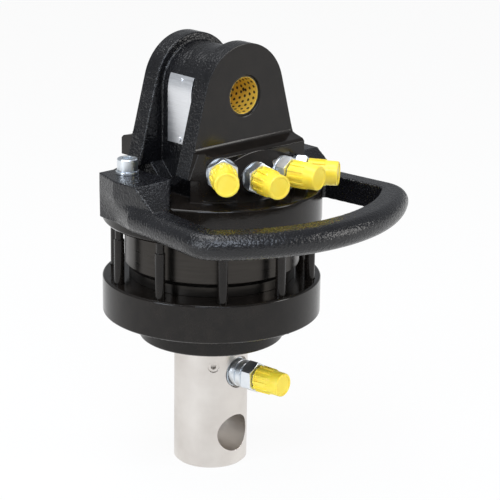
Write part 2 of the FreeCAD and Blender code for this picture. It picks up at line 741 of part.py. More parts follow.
    def on_ear_inside(edge):
        box = edge.BoundBox
        level = abs(abs(box.YMin) - inside) < 1e-3 and box.YLength < 1e-3
        outside_hub = edge.Length > 1 and box.ZMax > arch_low and abs(box.ZMin - box.ZMax) > 1
        mid = edge.valueAt((edge.FirstParameter + edge.LastParameter) / 2)
        far = math.hypot(mid.x, mid.z - PIN_Z.number) > WEB_HALF.number + 3
        return level and outside_hub and far

    dress(body, "Fillet", d.ear_round, edges_where(body, on_ear_inside))
    return body


build_head_casting()


# Head pin bushes, one in each ear
def build_pin_bush(label, way):
    body = new_body(label)
    face = (EAR_FACE - d.pin_bush_recess) * way
    sketch = new_sketch(body, "XZ_Plane", -face)
    circle(sketch, d.pin_d / 2 + d.pin_bush_wall, 0, PIN_Z)
    circle(sketch, d.pin_d / 2, 0, PIN_Z)
    pad(body, sketch, d.pin_bush_length, reverse=way < 0)


build_pin_bush("pin_bush_front", -1)
build_pin_bush("pin_bush_rear", 1)


# Type plate, bent over the hub's side, with its two rivets
def build_type_plate():
    body = new_body("type_plate")
    sketch = new_sketch(body, "XZ_Plane")
    inner = WEB_HALF + 0.01
    outer = inner + d.plate_thick
    bottom = PIN_Z - d.plate_bottom
    lift = root_of(inner * inner - d.plate_top * d.plate_top)
    scale = outer / inner
    start = V(-lift.number * scale.number, PIN_Z.number + d.plate_top.number * scale.number, 0)
    inside_top = V(-lift.number, PIN_Z.number + d.plate_top.number, 0)
    centre = V(0, PIN_Z.number, 0)
    turn = math.atan2(d.plate_top.number, lift.number)
    outer_arc = Part.ArcOfCircle(Part.Circle(centre, V(0, 0, 1), outer.number), math.pi - turn, math.pi)
    inner_arc = Part.ArcOfCircle(Part.Circle(centre, V(0, 0, 1), inner.number), math.pi - turn, math.pi)
    over = sketch.addGeometry(outer_arc)
    under = sketch.addGeometry(inner_arc)
    top = sketch.addGeometry(Part.LineSegment(inside_top, start))
    corners = [(-outer.number, PIN_Z.number), (-outer.number, bottom.number)]
    corners += [(-inner.number, bottom.number), (-inner.number, PIN_Z.number)]
    points = [V(x, y, 0) for x, y in corners]
    outside = sketch.addGeometry(Part.LineSegment(points[0], points[1]))
    below = sketch.addGeometry(Part.LineSegment(points[1], points[2]))
    inside = sketch.addGeometry(Part.LineSegment(points[2], points[3]))
    joins = [(over, 2, outside, 1), (outside, 2, below, 1), (below, 2, inside, 1)]
    joins += [(inside, 2, under, 2), (under, 1, top, 1), (top, 2, over, 1)]
    for first, end, second, start_end in joins:
        sketch.addConstraint(Sketcher.Constraint("Coincident", first, end, second, start_end))
    place_point(sketch, over, 3, 0, PIN_Z)
    place_point(sketch, under, 3, 0, PIN_Z)
    place_point(sketch, outside, 1, -outer, PIN_Z)
    place_point(sketch, outside, 2, -outer, bottom)
    place_point(sketch, inside, 1, -inner, bottom)
    place_point(sketch, inside, 2, -inner, PIN_Z)
    inside_top_z = PIN_Z + d.plate_top
    outside_top_z = PIN_Z + d.plate_top * scale
    bind(sketch, Sketcher.Constraint("DistanceY", top, 1, inside_top_z.number), inside_top_z)
    bind(sketch, Sketcher.Constraint("DistanceY", top, 2, outside_top_z.number), outside_top_z)
    pad(body, sketch, d.plate_width, "Symmetric")
    for angle, height in RIVET_PLACES:
        hole = rivet_sketch(body, angle, height, outer + 1)
        circle(hole, d.rivet_d / 2)
        pocket(body, hole, d.rivet_length, reverse=True)


def build_rivets():
    body = new_body("type_plate_rivets", several=True)
    face = WEB_HALF + 0.01 + d.plate_thick
    for angle, height in RIVET_PLACES:
        head = rivet_sketch(body, angle, height, face)
        circle(head, d.rivet_head_d / 2)
        pad(body, head, d.plate_thick, reverse=True)
        shank = rivet_sketch(body, angle, height, face)
        circle(shank, d.rivet_d / 2)
        pad(body, shank, d.rivet_length)


build_type_plate()
build_rivets()


# Stator: the cam ring between the cover and the head


def build_stator_ring():
    body = new_body("stator_ring")
    foot = FOOT_R
    foot_top = FLANGE_TOP + d.stator_foot_height
    step_top = foot_top + STATOR_R - foot
    cut = d.edge_chamfer
    outline = [
        (0, FLANGE_TOP),
        (foot, FLANGE_TOP),
        (foot, foot_top),
        (STATOR_R, step_top),
        (STATOR_R, STATOR_TOP - cut),
        (STATOR_R - cut, STATOR_TOP),
        (0, STATOR_TOP),
    ]
    turned_outline(body, outline)
    # The cam bore is an oval: two chambers along X, two sealing lands along Y
    cam = new_sketch(body, "XY_Plane", FLANGE_TOP)
    major_end = V(CAM_MAJOR.number, 0, 0)
    minor_end = V(0, CAM_MINOR.number, 0)
    oval = cam.addGeometry(Part.Ellipse(major_end, minor_end, V(0, 0, 0)))
    cam.exposeInternalGeometry(oval)
    cam.addConstraint(Sketcher.Constraint("Coincident", oval, 3, -1, 1))
    cam.addConstraint(Sketcher.Constraint("Horizontal", 1))
    bind(cam, Sketcher.Constraint("Distance", 1, 2 * CAM_MAJOR.number), 2 * CAM_MAJOR)
    bind(cam, Sketcher.Constraint("Distance", 2, 2 * CAM_MINOR.number), 2 * CAM_MINOR)
    pocket(body, cam, d.stator_height + 1, reverse=True)
    # O-ring grooves in both faces
    half = d.oring_d / 2
    for face, depth in ((STATOR_TOP, -d.oring_d), (FLANGE_TOP, d.oring_d)):
        low = face + depth
        corners = [(ORING_R - half, face), (ORING_R + half, face)]
        corners += [(ORING_R + half, low), (ORING_R - half, low)]
        grooved(body, corners)
    for way in (1, -1):
        dowel = new_sketch(body, "XY_Plane", FLANGE_TOP)
        circle(dowel, d.dowel_d / 2, 0, DOWEL_R * way)
        pocket(body, dowel, d.stator_height + 1, reverse=True)
    return body


build_stator_ring()


def build_orings():
    """Rings of round section, pressed flat into their grooves."""
    body = new_body("stator_orings", several=True)
    half = d.oring_d / 2
    flat = half * 0.6
    for face, way in ((STATOR_TOP, -1), (FLANGE_TOP, 1)):
        middle = face + half * way
        corners = []
        for x, z in ((-half, -flat), (-flat, -half), (flat, -half), (half, -flat)):
            corners.append((ORING_R + x, middle + z))
        for x, z in ((half, flat), (flat, half), (-flat, half), (-half, flat)):
            corners.append((ORING_R + x, middle + z))
        turned_outline(body, corners)


build_orings()


def build_dowels():
    body = new_body("stator_dowels", several=True)
    for way in (1, -1):
        pin = new_sketch(body, "XY_Plane", FLANGE_TOP - d.dowel_engage)
        circle(pin, d.dowel_d / 2, 0, DOWEL_R * way)
        pad(body, pin, d.stator_height + 2 * d.dowel_engage)


build_dowels()

# Lower cover: flange and hub with the seats of the lower bearings and seals
WIPER_SEAT_TOP = HUB_BOTTOM + 1.5 + d.wiper_height
SEAL_SEAT = WIPER_SEAT_TOP + d.seal_land
SEAL_SEAT_TOP = SEAL_SEAT + d.shaft_seal_height
BUSH_SEAT = SEAL_SEAT_TOP + d.seal_land
BUSH_SEAT_TOP = BUSH_SEAT + d.lower_bush_length
LOWER_BUSH_R = SHAFT_R + d.run_clear + d.lower_bush_wall
SHAFT_SEAL_R = SHAFT_R + d.run_clear + d.shaft_seal_section
COVER_BORE = SHAFT_R + 0.5


def build_lower_cover():
    body = new_body("lower_cover")
    hub = HUB_R
    flange = FLANGE_R
    cut = d.edge_chamfer
    outline = [
        (COVER_BORE, HUB_BOTTOM),
        (hub - cut, HUB_BOTTOM),
        (hub, HUB_BOTTOM + cut),
        (hub, FLANGE_BOTTOM),
        (flange - cut, FLANGE_BOTTOM),
        (flange, FLANGE_BOTTOM + cut),
        (flange, FLANGE_TOP - cut),
        (flange - cut, FLANGE_TOP),
        (COVER_BORE, FLANGE_TOP),
    ]
    turned_outline(body, outline)
    inside = COVER_BORE - 1
    wiper = [(inside, HUB_BOTTOM), (SHAFT_SEAL_R, HUB_BOTTOM)]
    wiper += [(SHAFT_SEAL_R, WIPER_SEAT_TOP), (inside, WIPER_SEAT_TOP)]
    grooved(body, wiper)
    seal = [(inside, SEAL_SEAT), (SHAFT_SEAL_R, SEAL_SEAT)]
    seal += [(SHAFT_SEAL_R, SEAL_SEAT_TOP), (inside, SEAL_SEAT_TOP)]
    grooved(body, seal)
    bush = [(inside, BUSH_SEAT), (LOWER_BUSH_R, BUSH_SEAT)]
    bush += [(LOWER_BUSH_R, BUSH_SEAT_TOP), (inside, BUSH_SEAT_TOP)]
    grooved(body, bush)
    thrust = [(inside, THRUST_SEAT), (COVER_POCKET, THRUST_SEAT)]
    thrust += [(COVER_POCKET, FLANGE_TOP), (inside, FLANGE_TOP)]
    grooved(body, thrust)
    for way in (1, -1):
        dowel = new_sketch(body, "XY_Plane", FLANGE_TOP)
        circle(dowel, d.dowel_d / 2, 0, DOWEL_R * way)
        pocket(body, dowel, d.dowel_engage)
    hole = new_sketch(body, "XY_Plane", FLANGE_BOTTOM)
    circle(hole, d.screw_d / 2 + d.screw_clear, 0, -SCREW_R)
    through = pocket(body, hole, d.flange_thick + 1, reverse=True)
    head = new_sketch(body, "XY_Plane", FLANGE_BOTTOM)
    circle(head, d.screw_head_d / 2 + d.screw_clear, 0, -SCREW_R)
    seat = pocket(body, head, d.counterbore_depth, reverse=True)
    round_about(body, [through, seat], d.screw_count)
    corner = edges_where(body, lambda edge: is_level_circle(edge, hub.number, FLANGE_BOTTOM.number))
    dress(body, "Fillet", d.hub_fillet, corner)


build_lower_cover()


def build_cover_screws():
    """Cap screws from below: socket head, shank, waist and the thread in the head ring."""
    body = new_body("cover_screws", several=True)
    seat = FLANGE_BOTTOM + d.counterbore_depth
    reach = SCREW_R
    levels = [
        (d.screw_head_d / 2, seat - d.screw_d, d.screw_d),
        (d.screw_d / 2, seat, STATOR_TOP - d.screw_neck_drop - seat),
        (d.screw_neck_d / 2, STATOR_TOP - d.screw_neck_drop, d.screw_neck_drop),
        (d.screw_d / 2, STATOR_TOP, d.screw_thread_length),
    ]
    parts = []
    for radius, bottom, length in levels:
        sketch = new_sketch(body, "XY_Plane", bottom)
        circle(sketch, radius, 0, -reach)
        parts.append(pad(body, sketch, length))
    socket = new_sketch(body, "XY_Plane", seat - d.screw_d)
    hexagon(socket, d.screw_d * 0.75, 0, -reach)
    parts.append(pocket(body, socket, d.screw_d * 0.5, reverse=True))
    round_about(body, parts, d.screw_count)


build_cover_screws()

# Bushes, seals and thrust washers, all turned
ring_body("upper_bush", SPINDLE_R + d.run_clear, UPPER_BUSH_R, STATOR_TOP, d.upper_bush_length)
ring_body("lower_bush", SHAFT_R + d.run_clear, LOWER_BUSH_R, BUSH_SEAT, d.lower_bush_length)
ring_body("thrust_washer_lower", THRUST_BORE, THRUST_R, THRUST_SEAT, d.thrust_washer_thick)
upper_washer_z = COLLAR_BOTTOM - d.thrust_washer_thick
ring_body("thrust_washer_upper", THRUST_BORE, THRUST_R, upper_washer_z, d.thrust_washer_thick)


def build_swivel_seals():
    body = new_body("swivel_seals", several=True)
    inner = SPINDLE_R + d.run_clear
    nose = 0.6
    for level in SEAL_LEVELS:
        top = level + d.seal_height
        corners = [(inner, level + nose), (inner + nose, level), (SEAL_R, level)]
        corners += [(SEAL_R, top), (inner + nose, top), (inner, top - nose)]
        turned_outline(body, corners)


build_swivel_seals()


def build_shaft_seal():
    body = new_body("shaft_seal")
    inner = SHAFT_R + d.run_clear
    middle = inner + d.shaft_seal_section / 2
    top = SEAL_SEAT_TOP
    lip = d.shaft_seal_height * 0.4
    corners = [
        (inner + 1.2, SEAL_SEAT),
        (SHAFT_SEAL_R, SEAL_SEAT),
        (SHAFT_SEAL_R, top),
        (middle + 1, top),
        (middle + 1, top - lip),
        (middle - 1, top - lip),
        (middle - 1, top),
        (inner, top - 0.4),
        (inner, top - 1.6),
    ]
    turned_outline(body, corners)


build_shaft_seal()


def build_wiper_ring():
    """Wiper in the hub's mouth; its lip points down along the shaft."""
    body = new_body("wiper_ring")
    inner = SHAFT_R + d.run_clear
    low = HUB_BOTTOM + 1.5
    corners = [
        (inner + 1.5, low),
        (SHAFT_SEAL_R, low),
        (SHAFT_SEAL_R, WIPER_SEAT_TOP),
        (inner + 1.5, WIPER_SEAT_TOP),
        (inner + 1.5, low + 2.5),
        (inner, low - 0.5),
        (inner + 1, low - 1),
    ]
    turned_outline(body, corners)


build_wiper_ring()

# Rotor: shaft, vane drum and swivel spindle in one piece
SPINDLE_GROOVES = [PORT_RIGHT_Z, PORT_LEFT_Z]


def gallery_place(angle):
    """Where the gallery of the shaft port at this angle runs down inside the shaft."""
    return d.gallery_offset * sin_of(angle), -d.gallery_offset * cos_of(angle)


def build_rotor_shaft():
    body = new_body("rotor_shaft")
    cut = d.shaft_chamfer
    outline = [
        (0, 0),
        (SHAFT_R - cut, 0),
        (SHAFT_R, cut),
        (SHAFT_R, COLLAR_BOTTOM),
        (COLLAR_R, COLLAR_BOTTOM),
        (COLLAR_R, ROTOR_BOTTOM),
        (ROTOR_R, ROTOR_BOTTOM),
        (ROTOR_R, ROTOR_TOP),
        (SPINDLE_R, ROTOR_TOP),
        (SPINDLE_R, SPINDLE_TOP - 1),
        (SPINDLE_R - 1, SPINDLE_TOP),
        (0, SPINDLE_TOP),
    ]
    turned_outline(body, outline)
    bottom_of_groove = SPINDLE_R - d.groove_depth
    for level in SPINDLE_GROOVES:
        low = level - d.groove_width / 2
        high = level + d.groove_width / 2
        outside = SPINDLE_R + 1
        corners = [(bottom_of_groove, low), (outside, low), (outside, high), (bottom_of_groove, high)]
        grooved(body, corners)
    eye = new_sketch(body, "XZ_Plane")
    circle(eye, d.eye_d / 2, 0, d.eye_height)
    pocket(body, eye, 2 * d.shaft_d, "Symmetric")
    # Two galleries inside the shaft, each from a swivel groove down to a shaft port
    for (angle, height), level in zip(SHAFT_PORTS, SPINDLE_GROOVES):
        down = new_sketch(body, "XY_Plane", SPINDLE_TOP)
        circle(down, d.gallery_d / 2, *gallery_place(angle))
        pocket(body, down, SPINDLE_TOP - height)
        side = radial_sketch(body, angle, level, SPINDLE_R)
        circle(side, d.gallery_d / 2)
        pocket(body, side, SPINDLE_R - d.gallery_offset)
    for angle, height in SHAFT_PORTS:
        seat = radial_sketch(body, angle, height, SHAFT_SEAT)
        circle(seat, d.port_seat_d / 2)
        pocket(body, seat, SHAFT_R, reverse=True)
        thread = radial_sketch(body, angle, height, SHAFT_SEAT)
        circle(thread, d.port_thread_d / 2)
        pocket(body, thread, d.port_thread_depth - 2)
    plug = radial_sketch(body, -d.plug_angle, d.plug_height, SHAFT_R)
    circle(plug, d.plug_d / 2)
    pocket(body, plug, d.plug_depth)
    # Vane slots with the spring bores at their roots
    slot = new_sketch(body, "XY_Plane", ROTOR_BOTTOM)
    half = d.vane_thick / 2
    root = ROTOR_R - d.slot_depth
    polygon(slot, [(root, -half), (ROTOR_R + 2, -half), (ROTOR_R + 2, half), (root, half)])
    features = [pocket(body, slot, ROTOR_TOP - ROTOR_BOTTOM, reverse=True)]
    middle = (ROTOR_TOP + ROTOR_BOTTOM) / 2
    for way in (1, -1):
        bore = new_sketch(body, "YZ_Plane", root - d.spring_depth)
        circle(bore, d.spring_d / 2 + 0.1, 0, middle + d.spring_spacing / 2 * way)
        features.append(pocket(body, bore, d.spring_depth + 1, reverse=True))
    round_about(body, features, d.vane_count)


build_rotor_shaft()


def build_vanes():
    body = new_body("vanes", several=True)
    outer = CAM_MINOR - d.vane_tip_gap
    inner = outer - d.vane_length
    half = d.vane_thick / 2 - d.vane_clear
    nose = 0.8
    sketch = new_sketch(body, "XY_Plane", ROTOR_BOTTOM + 0.1)
    corners = [(inner, -half), (outer - nose, -half), (outer, -half + nose)]
    corners += [(outer, half - nose), (outer - nose, half), (inner, half)]
    polygon(sketch, corners)
    vane = pad(body, sketch, ROTOR_TOP - ROTOR_BOTTOM - 0.2)
    round_about(body, [vane], d.vane_count)


build_vanes()


def build_vane_springs():
    """Springs in simple form: short tubes from the bore's bottom to the vane."""
    body = new_body("vane_springs", several=True)
    bottom = ROTOR_R - d.slot_depth - d.spring_depth
    vane_back = CAM_MINOR - d.vane_tip_gap - d.vane_length
    middle = (ROTOR_TOP + ROTOR_BOTTOM) / 2
    features = []
    for way in (1, -1):
        sketch = new_sketch(body, "YZ_Plane", bottom)
        height = middle + d.spring_spacing / 2 * way
        circle(sketch, d.spring_d / 2 - 0.2, 0, height)
        circle(sketch, d.spring_d / 4, 0, height)
        features.append(pad(body, sketch, vane_back - bottom))
    round_about(body, features, d.vane_count)


build_vane_springs()

# Thrust bearing: the cage and its rollers turn at half the shaft's speed
ROLLER_MIDDLE = THRUST_SEAT + d.thrust_washer_thick + ROLLER_ROOM / 2
ROLLER_IN = (THRUST_R + THRUST_BORE) / 2 - ROLLER_LENGTH / 2


def build_roller_cage():
    body = new_body("roller_cage")
    half = d.roller_d * 0.3
    inner = THRUST_BORE + 0.8
    outer = THRUST_R - 0.6
    corners = [(inner, ROLLER_MIDDLE - half), (outer, ROLLER_MIDDLE - half)]
    corners += [(outer, ROLLER_MIDDLE + half), (inner, ROLLER_MIDDLE + half)]
    turned_outline(body, corners)
    window = new_sketch(body, "XY_Plane", ROLLER_MIDDLE - half)
    start = ROLLER_IN - 0.15
    end = ROLLER_IN + ROLLER_LENGTH + 0.15
    side = d.roller_d / 2 + 0.1
    polygon(window, [(start, -side), (end, -side), (end, side), (start, side)])
    cut = pocket(body, window, 3 * half, reverse=True)
    round_about(body, [cut], d.roller_count)


def build_rollers():
    body = new_body("bearing_rollers", several=True)
    sketch = new_sketch(body, "YZ_Plane", ROLLER_IN)
    circle(sketch, d.roller_d / 2, 0, ROLLER_MIDDLE)
    roller = pad(body, sketch, ROLLER_LENGTH)
    round_about(body, [roller], d.roller_count)


build_roller_cage()
build_rollers()


# Guard: a bent bar round the hoses, with its two screwed lugs
def round_section(body, y, flat_x, bulge, inner_x=None):
    """The bar's section across Y: flat top, bottom and inner side, and a round outer side."""
    section = new_sketch(body, "XZ_Plane", -y)
    if inner_x is None:
        inner_x = LUG_OUTER - 5
    top = RING_TOP
    low = top - d.guard_depth
    half = d.guard_depth / 2
    radius = (half * half + bulge * bulge) / (2 * bulge)
    centre = V((flat_x + bulge - radius).number, (top - half).number, 0)
    spread = math.asin(half.number / radius.number)
    corners = [V(x.number, z.number, 0) for x, z in ((inner_x, top), (flat_x, top))]
    corners += [V(x.number, z.number, 0) for x, z in ((flat_x, low), (inner_x, low))]
    upper = section.addGeometry(Part.LineSegment(corners[0], corners[1]))
    full = Part.Circle(centre, V(0, 0, 1), radius.number)
    outer = section.addGeometry(Part.ArcOfCircle(full, -spread, spread))
    lower = section.addGeometry(Part.LineSegment(corners[2], corners[3]))
    inside = section.addGeometry(Part.LineSegment(corners[3], corners[0]))
    section.addConstraint(Sketcher.Constraint("Coincident", upper, 2, outer, 2))
    section.addConstraint(Sketcher.Constraint("Coincident", outer, 1, lower, 1))
    section.addConstraint(Sketcher.Constraint("Coincident", lower, 2, inside, 1))
    section.addConstraint(Sketcher.Constraint("Coincident", inside, 2, upper, 1))
    place_point(section, inside, 2, inner_x, top)
    place_point(section, upper, 2, flat_x, top)
    place_point(section, lower, 1, flat_x, low)
    place_point(section, inside, 1, inner_x, low)
    bind(section, Sketcher.Constraint("Radius", outer, radius.number), radius)
    return section


def build_hose_guard():
    body = new_body("hose_guard")
    top = RING_TOP
    path = new_sketch(body, "XY_Plane", top)
    bow = GUARD_R.number
    corner = d.guard_corner.number
    flare = math.radians(d.guard_flare.number)
    root = V(ARM_X.number, -d.guard_arm_y.number, 0)
    along = V(math.sin(flare), -math.cos(flare), 0)
    inward = V(-math.cos(flare), -math.sin(flare), 0)
    # The corner's centre is one corner radius inside the arm and inside the bow
    start = root + inward * corner
    reach = bow - corner
    ahead = start.dot(along)
    travel = -ahead + math.sqrt(ahead * ahead - start.dot(start) + reach * reach)
    centre = start + along * travel
    arm_end = centre - inward * corner
    outward = V(centre.x, centre.y, 0).normalize()
    bow_start = centre + outward * corner
    arm_angle = math.atan2(arm_end.y - centre.y, arm_end.x - centre.x)
    bow_angle = math.atan2(outward.y, outward.x)
    up = V(0, 0, 1)
    right_arm = path.addGeometry(Part.LineSegment(root, arm_end))
    right_circle = Part.Circle(centre, up, corner)
    right_bend = path.addGeometry(Part.ArcOfCircle(right_circle, bow_angle, arm_angle))
    bow_circle = Part.Circle(V(0, 0, 0), up, bow)
    front = path.addGeometry(Part.ArcOfCircle(bow_circle, -math.pi - bow_angle, bow_angle))
    mirror_centre = V(-centre.x, centre.y, 0)
    left_circle = Part.Circle(mirror_centre, up, corner)
    left_arc = Part.ArcOfCircle(left_circle, -math.pi - arm_angle, -math.pi - bow_angle)
    left_bend = path.addGeometry(left_arc)
    mirror_end = V(-arm_end.x, arm_end.y, 0)
    mirror_root = V(-root.x, root.y, 0)
    left_arm = path.addGeometry(Part.LineSegment(mirror_end, mirror_root))
    path.addConstraint(Sketcher.Constraint("Tangent", right_arm, 2, right_bend, 2))
    path.addConstraint(Sketcher.Constraint("Tangent", right_bend, 1, front, 2))
    path.addConstraint(Sketcher.Constraint("Tangent", front, 1, left_bend, 2))
    path.addConstraint(Sketcher.Constraint("Tangent", left_bend, 1, left_arm, 1))
    place_point(path, right_arm, 1, ARM_X, -d.guard_arm_y)
    place_point(path, left_arm, 2, -ARM_X, -d.guard_arm_y)
    place_point(path, front, 3, 0, 0)
    bind(path, Sketcher.Constraint("Radius", front, bow), GUARD_R)
    bind(path, Sketcher.Constraint("Radius", right_bend, corner), d.guard_corner)
    bind(path, Sketcher.Constraint("Radius", left_bend, corner), d.guard_corner)
    turn = d.guard_flare
    slope = Sketcher.Constraint("Angle", -1, 1, right_arm, 1, flare - math.pi / 2)
    index = path.addConstraint(slope)
    path.setExpression("Constraints[%d]" % index, "(" + turn.words + " - 90) * 1 deg")
    slope = Sketcher.Constraint("Angle", -1, 1, left_arm, 2, -math.pi / 2 - flare)
    index = path.addConstraint(slope)
    path.setExpression("Constraints[%d]" % index, "(-90 - " + turn.words + ") * 1 deg")
    section = round_section(body, -d.guard_arm_y, ARM_X + d.guard_flat, d.guard_bulge, ARM_X)
    bar = body.newObject("PartDesign::AdditivePipe", "hose_guard_bar")
    bar.Profile = section
    bar.Spine = (path, [""])
    bar.Mode = "Frenet"
    bar.Transition = "Transformed"
    doc.recompute()

    # Cheeks that lead the bar's round side into the lugs
    tip = -d.lug_front - d.lug_slope
    lean = (d.lug_slope) * (sin_of(d.guard_flare) / cos_of(d.guard_flare))
    wide_end = (tip, ARM_X + d.guard_flat + lean, d.guard_bulge * 0.98)
    flat_end = (d.lug_back / 6, LUG_OUTER - 0.3, d.guard_bulge * 0.08)
    ends = [round_section(body, *wide_end), round_section(body, *flat_end)]
    cheek = body.newObject("PartDesign::AdditiveLoft", "hose_guard_cheek")
    cheek.Profile = ends[0]
    cheek.Sections = [ends[1]]
    cheek.Ruled = True
    doc.recompute()
    mirrored(body, [cheek], "YZ_Plane")

    # Lugs on the head ring, one on each side
    front_top = -d.lug_front
    for way in (1, -1):
        lug = new_sketch(body, "XY_Plane", RING_TOP - d.guard_depth)
        corners = [
            (LUG_INNER * way, -(d.lug_front - 1)),
            (ARM_X * way, tip),
            (LUG_OUTER * way, tip),
            (LUG_OUTER * way, d.lug_back / 6),
            (LUG_OUTER * way - 8 * way, d.lug_back),
            (LUG_INNER * way, d.lug_back),
        ]
        polygon(lug, corners)
        pad(body, lug, d.guard_depth + d.lug_thick)
        # Its front slopes down to the bar
        slope = new_sketch(body, "YZ_Plane")
        high = RING_TOP + d.lug_thick
        polygon(slope, [(front_top, high + 0.01), (tip - 1, high + 0.01), (tip - 1, RING_TOP), (tip, RING_TOP)])
        near = LUG_INNER - 5
        if way > 0:
            slope.setExpression("AttachmentOffset.Base.z", near.words)
        else:
            slope.setExpression("AttachmentOffset.Base.z", (-near).words)
        pocket(body, slope, LUG_OUTER, reverse=way > 0)
    # The lugs sit on the ring's top and pass its side with a small gap
    grooved(body, [
        (0, RING_TOP - d.guard_depth - 1),
        (FLANGE_R + d.guard_fit, RING_TOP - d.guard_depth - 1),
        (FLANGE_R + d.guard_fit, RING_TOP),
        (0, RING_TOP),
    ])
    for way in (1, -1):
        hole = new_sketch(body, "XY_Plane", RING_TOP)
        circle(hole, d.guard_screw_d / 2 + 0.25, GUARD_SCREW_X * way, d.guard_screw_y)
        pocket(body, hole, d.lug_thick + 1, reverse=True)


build_hose_guard()


def build_guard_screws():
    body = new_body("guard_screws", several=True)
    seat = RING_TOP + d.lug_thick + d.lock_washer_thick
    for way in (1, -1):
        x = GUARD_SCREW_X * way
        y = d.guard_screw_y
        head = new_sketch(body, "XY_Plane", seat)
        circle(head, d.guard_screw_head_d / 2, x, y)
        pad(body, head, d.guard_screw_head)
        shank = new_sketch(body, "XY_Plane", seat)
        circle(shank, d.guard_screw_d / 2, x, y)
        pad(body, shank, seat - RING_TOP + d.guard_screw_grip, reverse=True)
        socket = new_sketch(body, "XY_Plane", seat + d.guard_screw_head)
        hexagon(socket, d.guard_screw_hex, x, y)
        pocket(body, socket, d.guard_screw_head / 2)
    top = (seat + d.guard_screw_head).number
    names = edges_where(body, lambda edge: is_level_circle(edge, d.guard_screw_head_d.number / 2, top))
    dress(body, "Chamfer", 0.8, names, "Size")


def build_lock_washers():
    body = new_body("guard_lock_washers", several=True)
    for way in (1, -1):
        x = GUARD_SCREW_X * way
        washer = new_sketch(body, "XY_Plane", RING_TOP + d.lug_thick)
        circle(washer, d.lock_washer_d / 2, x, d.guard_screw_y)
        circle(washer, d.guard_screw_d / 2 + 0.1, x, d.guard_screw_y)
        pad(body, washer, d.lock_washer_thick)


build_guard_screws()
build_lock_washers()


# Port adapters with their bonded washers and yellow thread caps
def outward_pad(body, angle, height, reach, length, radii=None, flats=None):
    """Adds a round or hexagonal length that points outwards from a radius."""
    sketch = radial_sketch(body, angle, height, reach)
    if flats is not None:
        hexagon(sketch, flats)
    for radius in radii or []:
        circle(sketch, radius)
    return pad(body, sketch, length)


def build_port_fittings():
    body = new_body("port_fittings", several=True)
    hex_start = PORT_SEAT + d.washer_thick
    neck_start = hex_start + d.fitting_hex_length
    stub = d.port_thread_depth - 1
    for angle, height in HEAD_PORTS:
        outward_pad(body, angle, height, hex_start, d.fitting_hex_length, flats=d.fitting_hex)
        outward_pad(body, angle, height, neck_start, d.fitting_neck_length, [d.fitting_neck_d / 2])
        below = PORT_SEAT - stub
        outward_pad(body, angle, height, below, stub + d.washer_thick, [d.port_thread_d / 2])
        bore = radial_sketch(body, angle, height, neck_start + d.fitting_neck_length)
        circle(bore, d.fitting_bore_d / 2)
        pocket(body, bore, PORT_SEAT)


def build_port_washers():
    body = new_body("port_washers", several=True)
    inner = d.port_thread_d / 2 + 0.1
    for angle, height in HEAD_PORTS:
        outward_pad(body, angle, height, PORT_SEAT, d.washer_thick, [d.washer_d / 2, inner])


def build_port_caps():
    """Caps pushed over the adapters' threads, with grooves between their grip ribs."""
    body = new_body("port_caps", several=True)
    start = PORT_SEAT + d.washer_thick + d.fitting_hex_length + 0.6
    cavity = d.fitting_neck_d / 2 + d.cap_fit
    for angle, height in HEAD_PORTS:
        outward_pad(body, angle, height, start, d.cap_grip_length, [d.cap_grip_d / 2])
        outward_pad(body, angle, height, start, d.cap_length, [d.cap_nose_d / 2])
        hollow = radial_sketch(body, angle, height, start)
        circle(hollow, cavity)
        pocket(body, hollow, d.fitting_neck_length + 0.6, reverse=True)
        ribs = radial_sketch(body, angle, height, start)
        for turn in range(int(d.cap_ribs.number)):
            way = as_size(360.0 * turn / d.cap_ribs.number)
            reach = d.cap_grip_d / 2 + d.cap_rib_d * 0.2
            circle(ribs, d.cap_rib_d / 2, reach * sin_of(way), reach * cos_of(way))
        pocket(body, ribs, d.cap_grip_length - 2, reverse=True)


build_port_fittings()
build_port_washers()
build_port_caps()

# The same on the shaft: two adapters with round bodies, washers and caps
SHAFT_HEX = SHAFT_SEAT + d.washer_thick
SHAFT_BODY = SHAFT_HEX + d.shaft_hex_length
SHAFT_NECK = SHAFT_BODY + d.shaft_body_length


def build_shaft_fittings():
    body = new_body("shaft_fittings", several=True)
    stub = d.port_thread_depth - 3
    for angle, height in SHAFT_PORTS:
        outward_pad(body, angle, height, SHAFT_HEX, d.shaft_hex_length, flats=d.fitting_hex)
        outward_pad(body, angle, height, SHAFT_BODY, d.shaft_body_length, [d.shaft_body_d / 2])
        outward_pad(body, angle, height, SHAFT_NECK, d.fitting_neck_length, [d.fitting_neck_d / 2])
        below = SHAFT_SEAT - stub
        outward_pad(body, angle, height, below, stub + d.washer_thick, [d.port_thread_d / 2])
        bore = radial_sketch(body, angle, height, SHAFT_NECK + d.fitting_neck_length)
        circle(bore, d.fitting_bore_d / 2)
        pocket(body, bore, PORT_SEAT)


def build_shaft_washers():
    body = new_body("shaft_washers", several=True)
    inner = d.port_thread_d / 2 + 0.1
    for angle, height in SHAFT_PORTS:
        outward_pad(body, angle, height, SHAFT_SEAT, d.washer_thick, [d.washer_d / 2, inner])


def build_shaft_caps():
    body = new_body("shaft_caps", several=True)
    start = SHAFT_NECK + 0.4
    for angle, height in SHAFT_PORTS:
        outward_pad(body, angle, height, start, d.shaft_cap_length * 0.84, [d.shaft_cap_d / 2])
        hollow = radial_sketch(body, angle, height, start)
        circle(hollow, d.fitting_neck_d / 2 + d.cap_fit)
        pocket(body, hollow, d.fitting_neck_length + 0.6, reverse=True)


build_shaft_fittings()
build_shaft_washers()
build_shaft_caps()


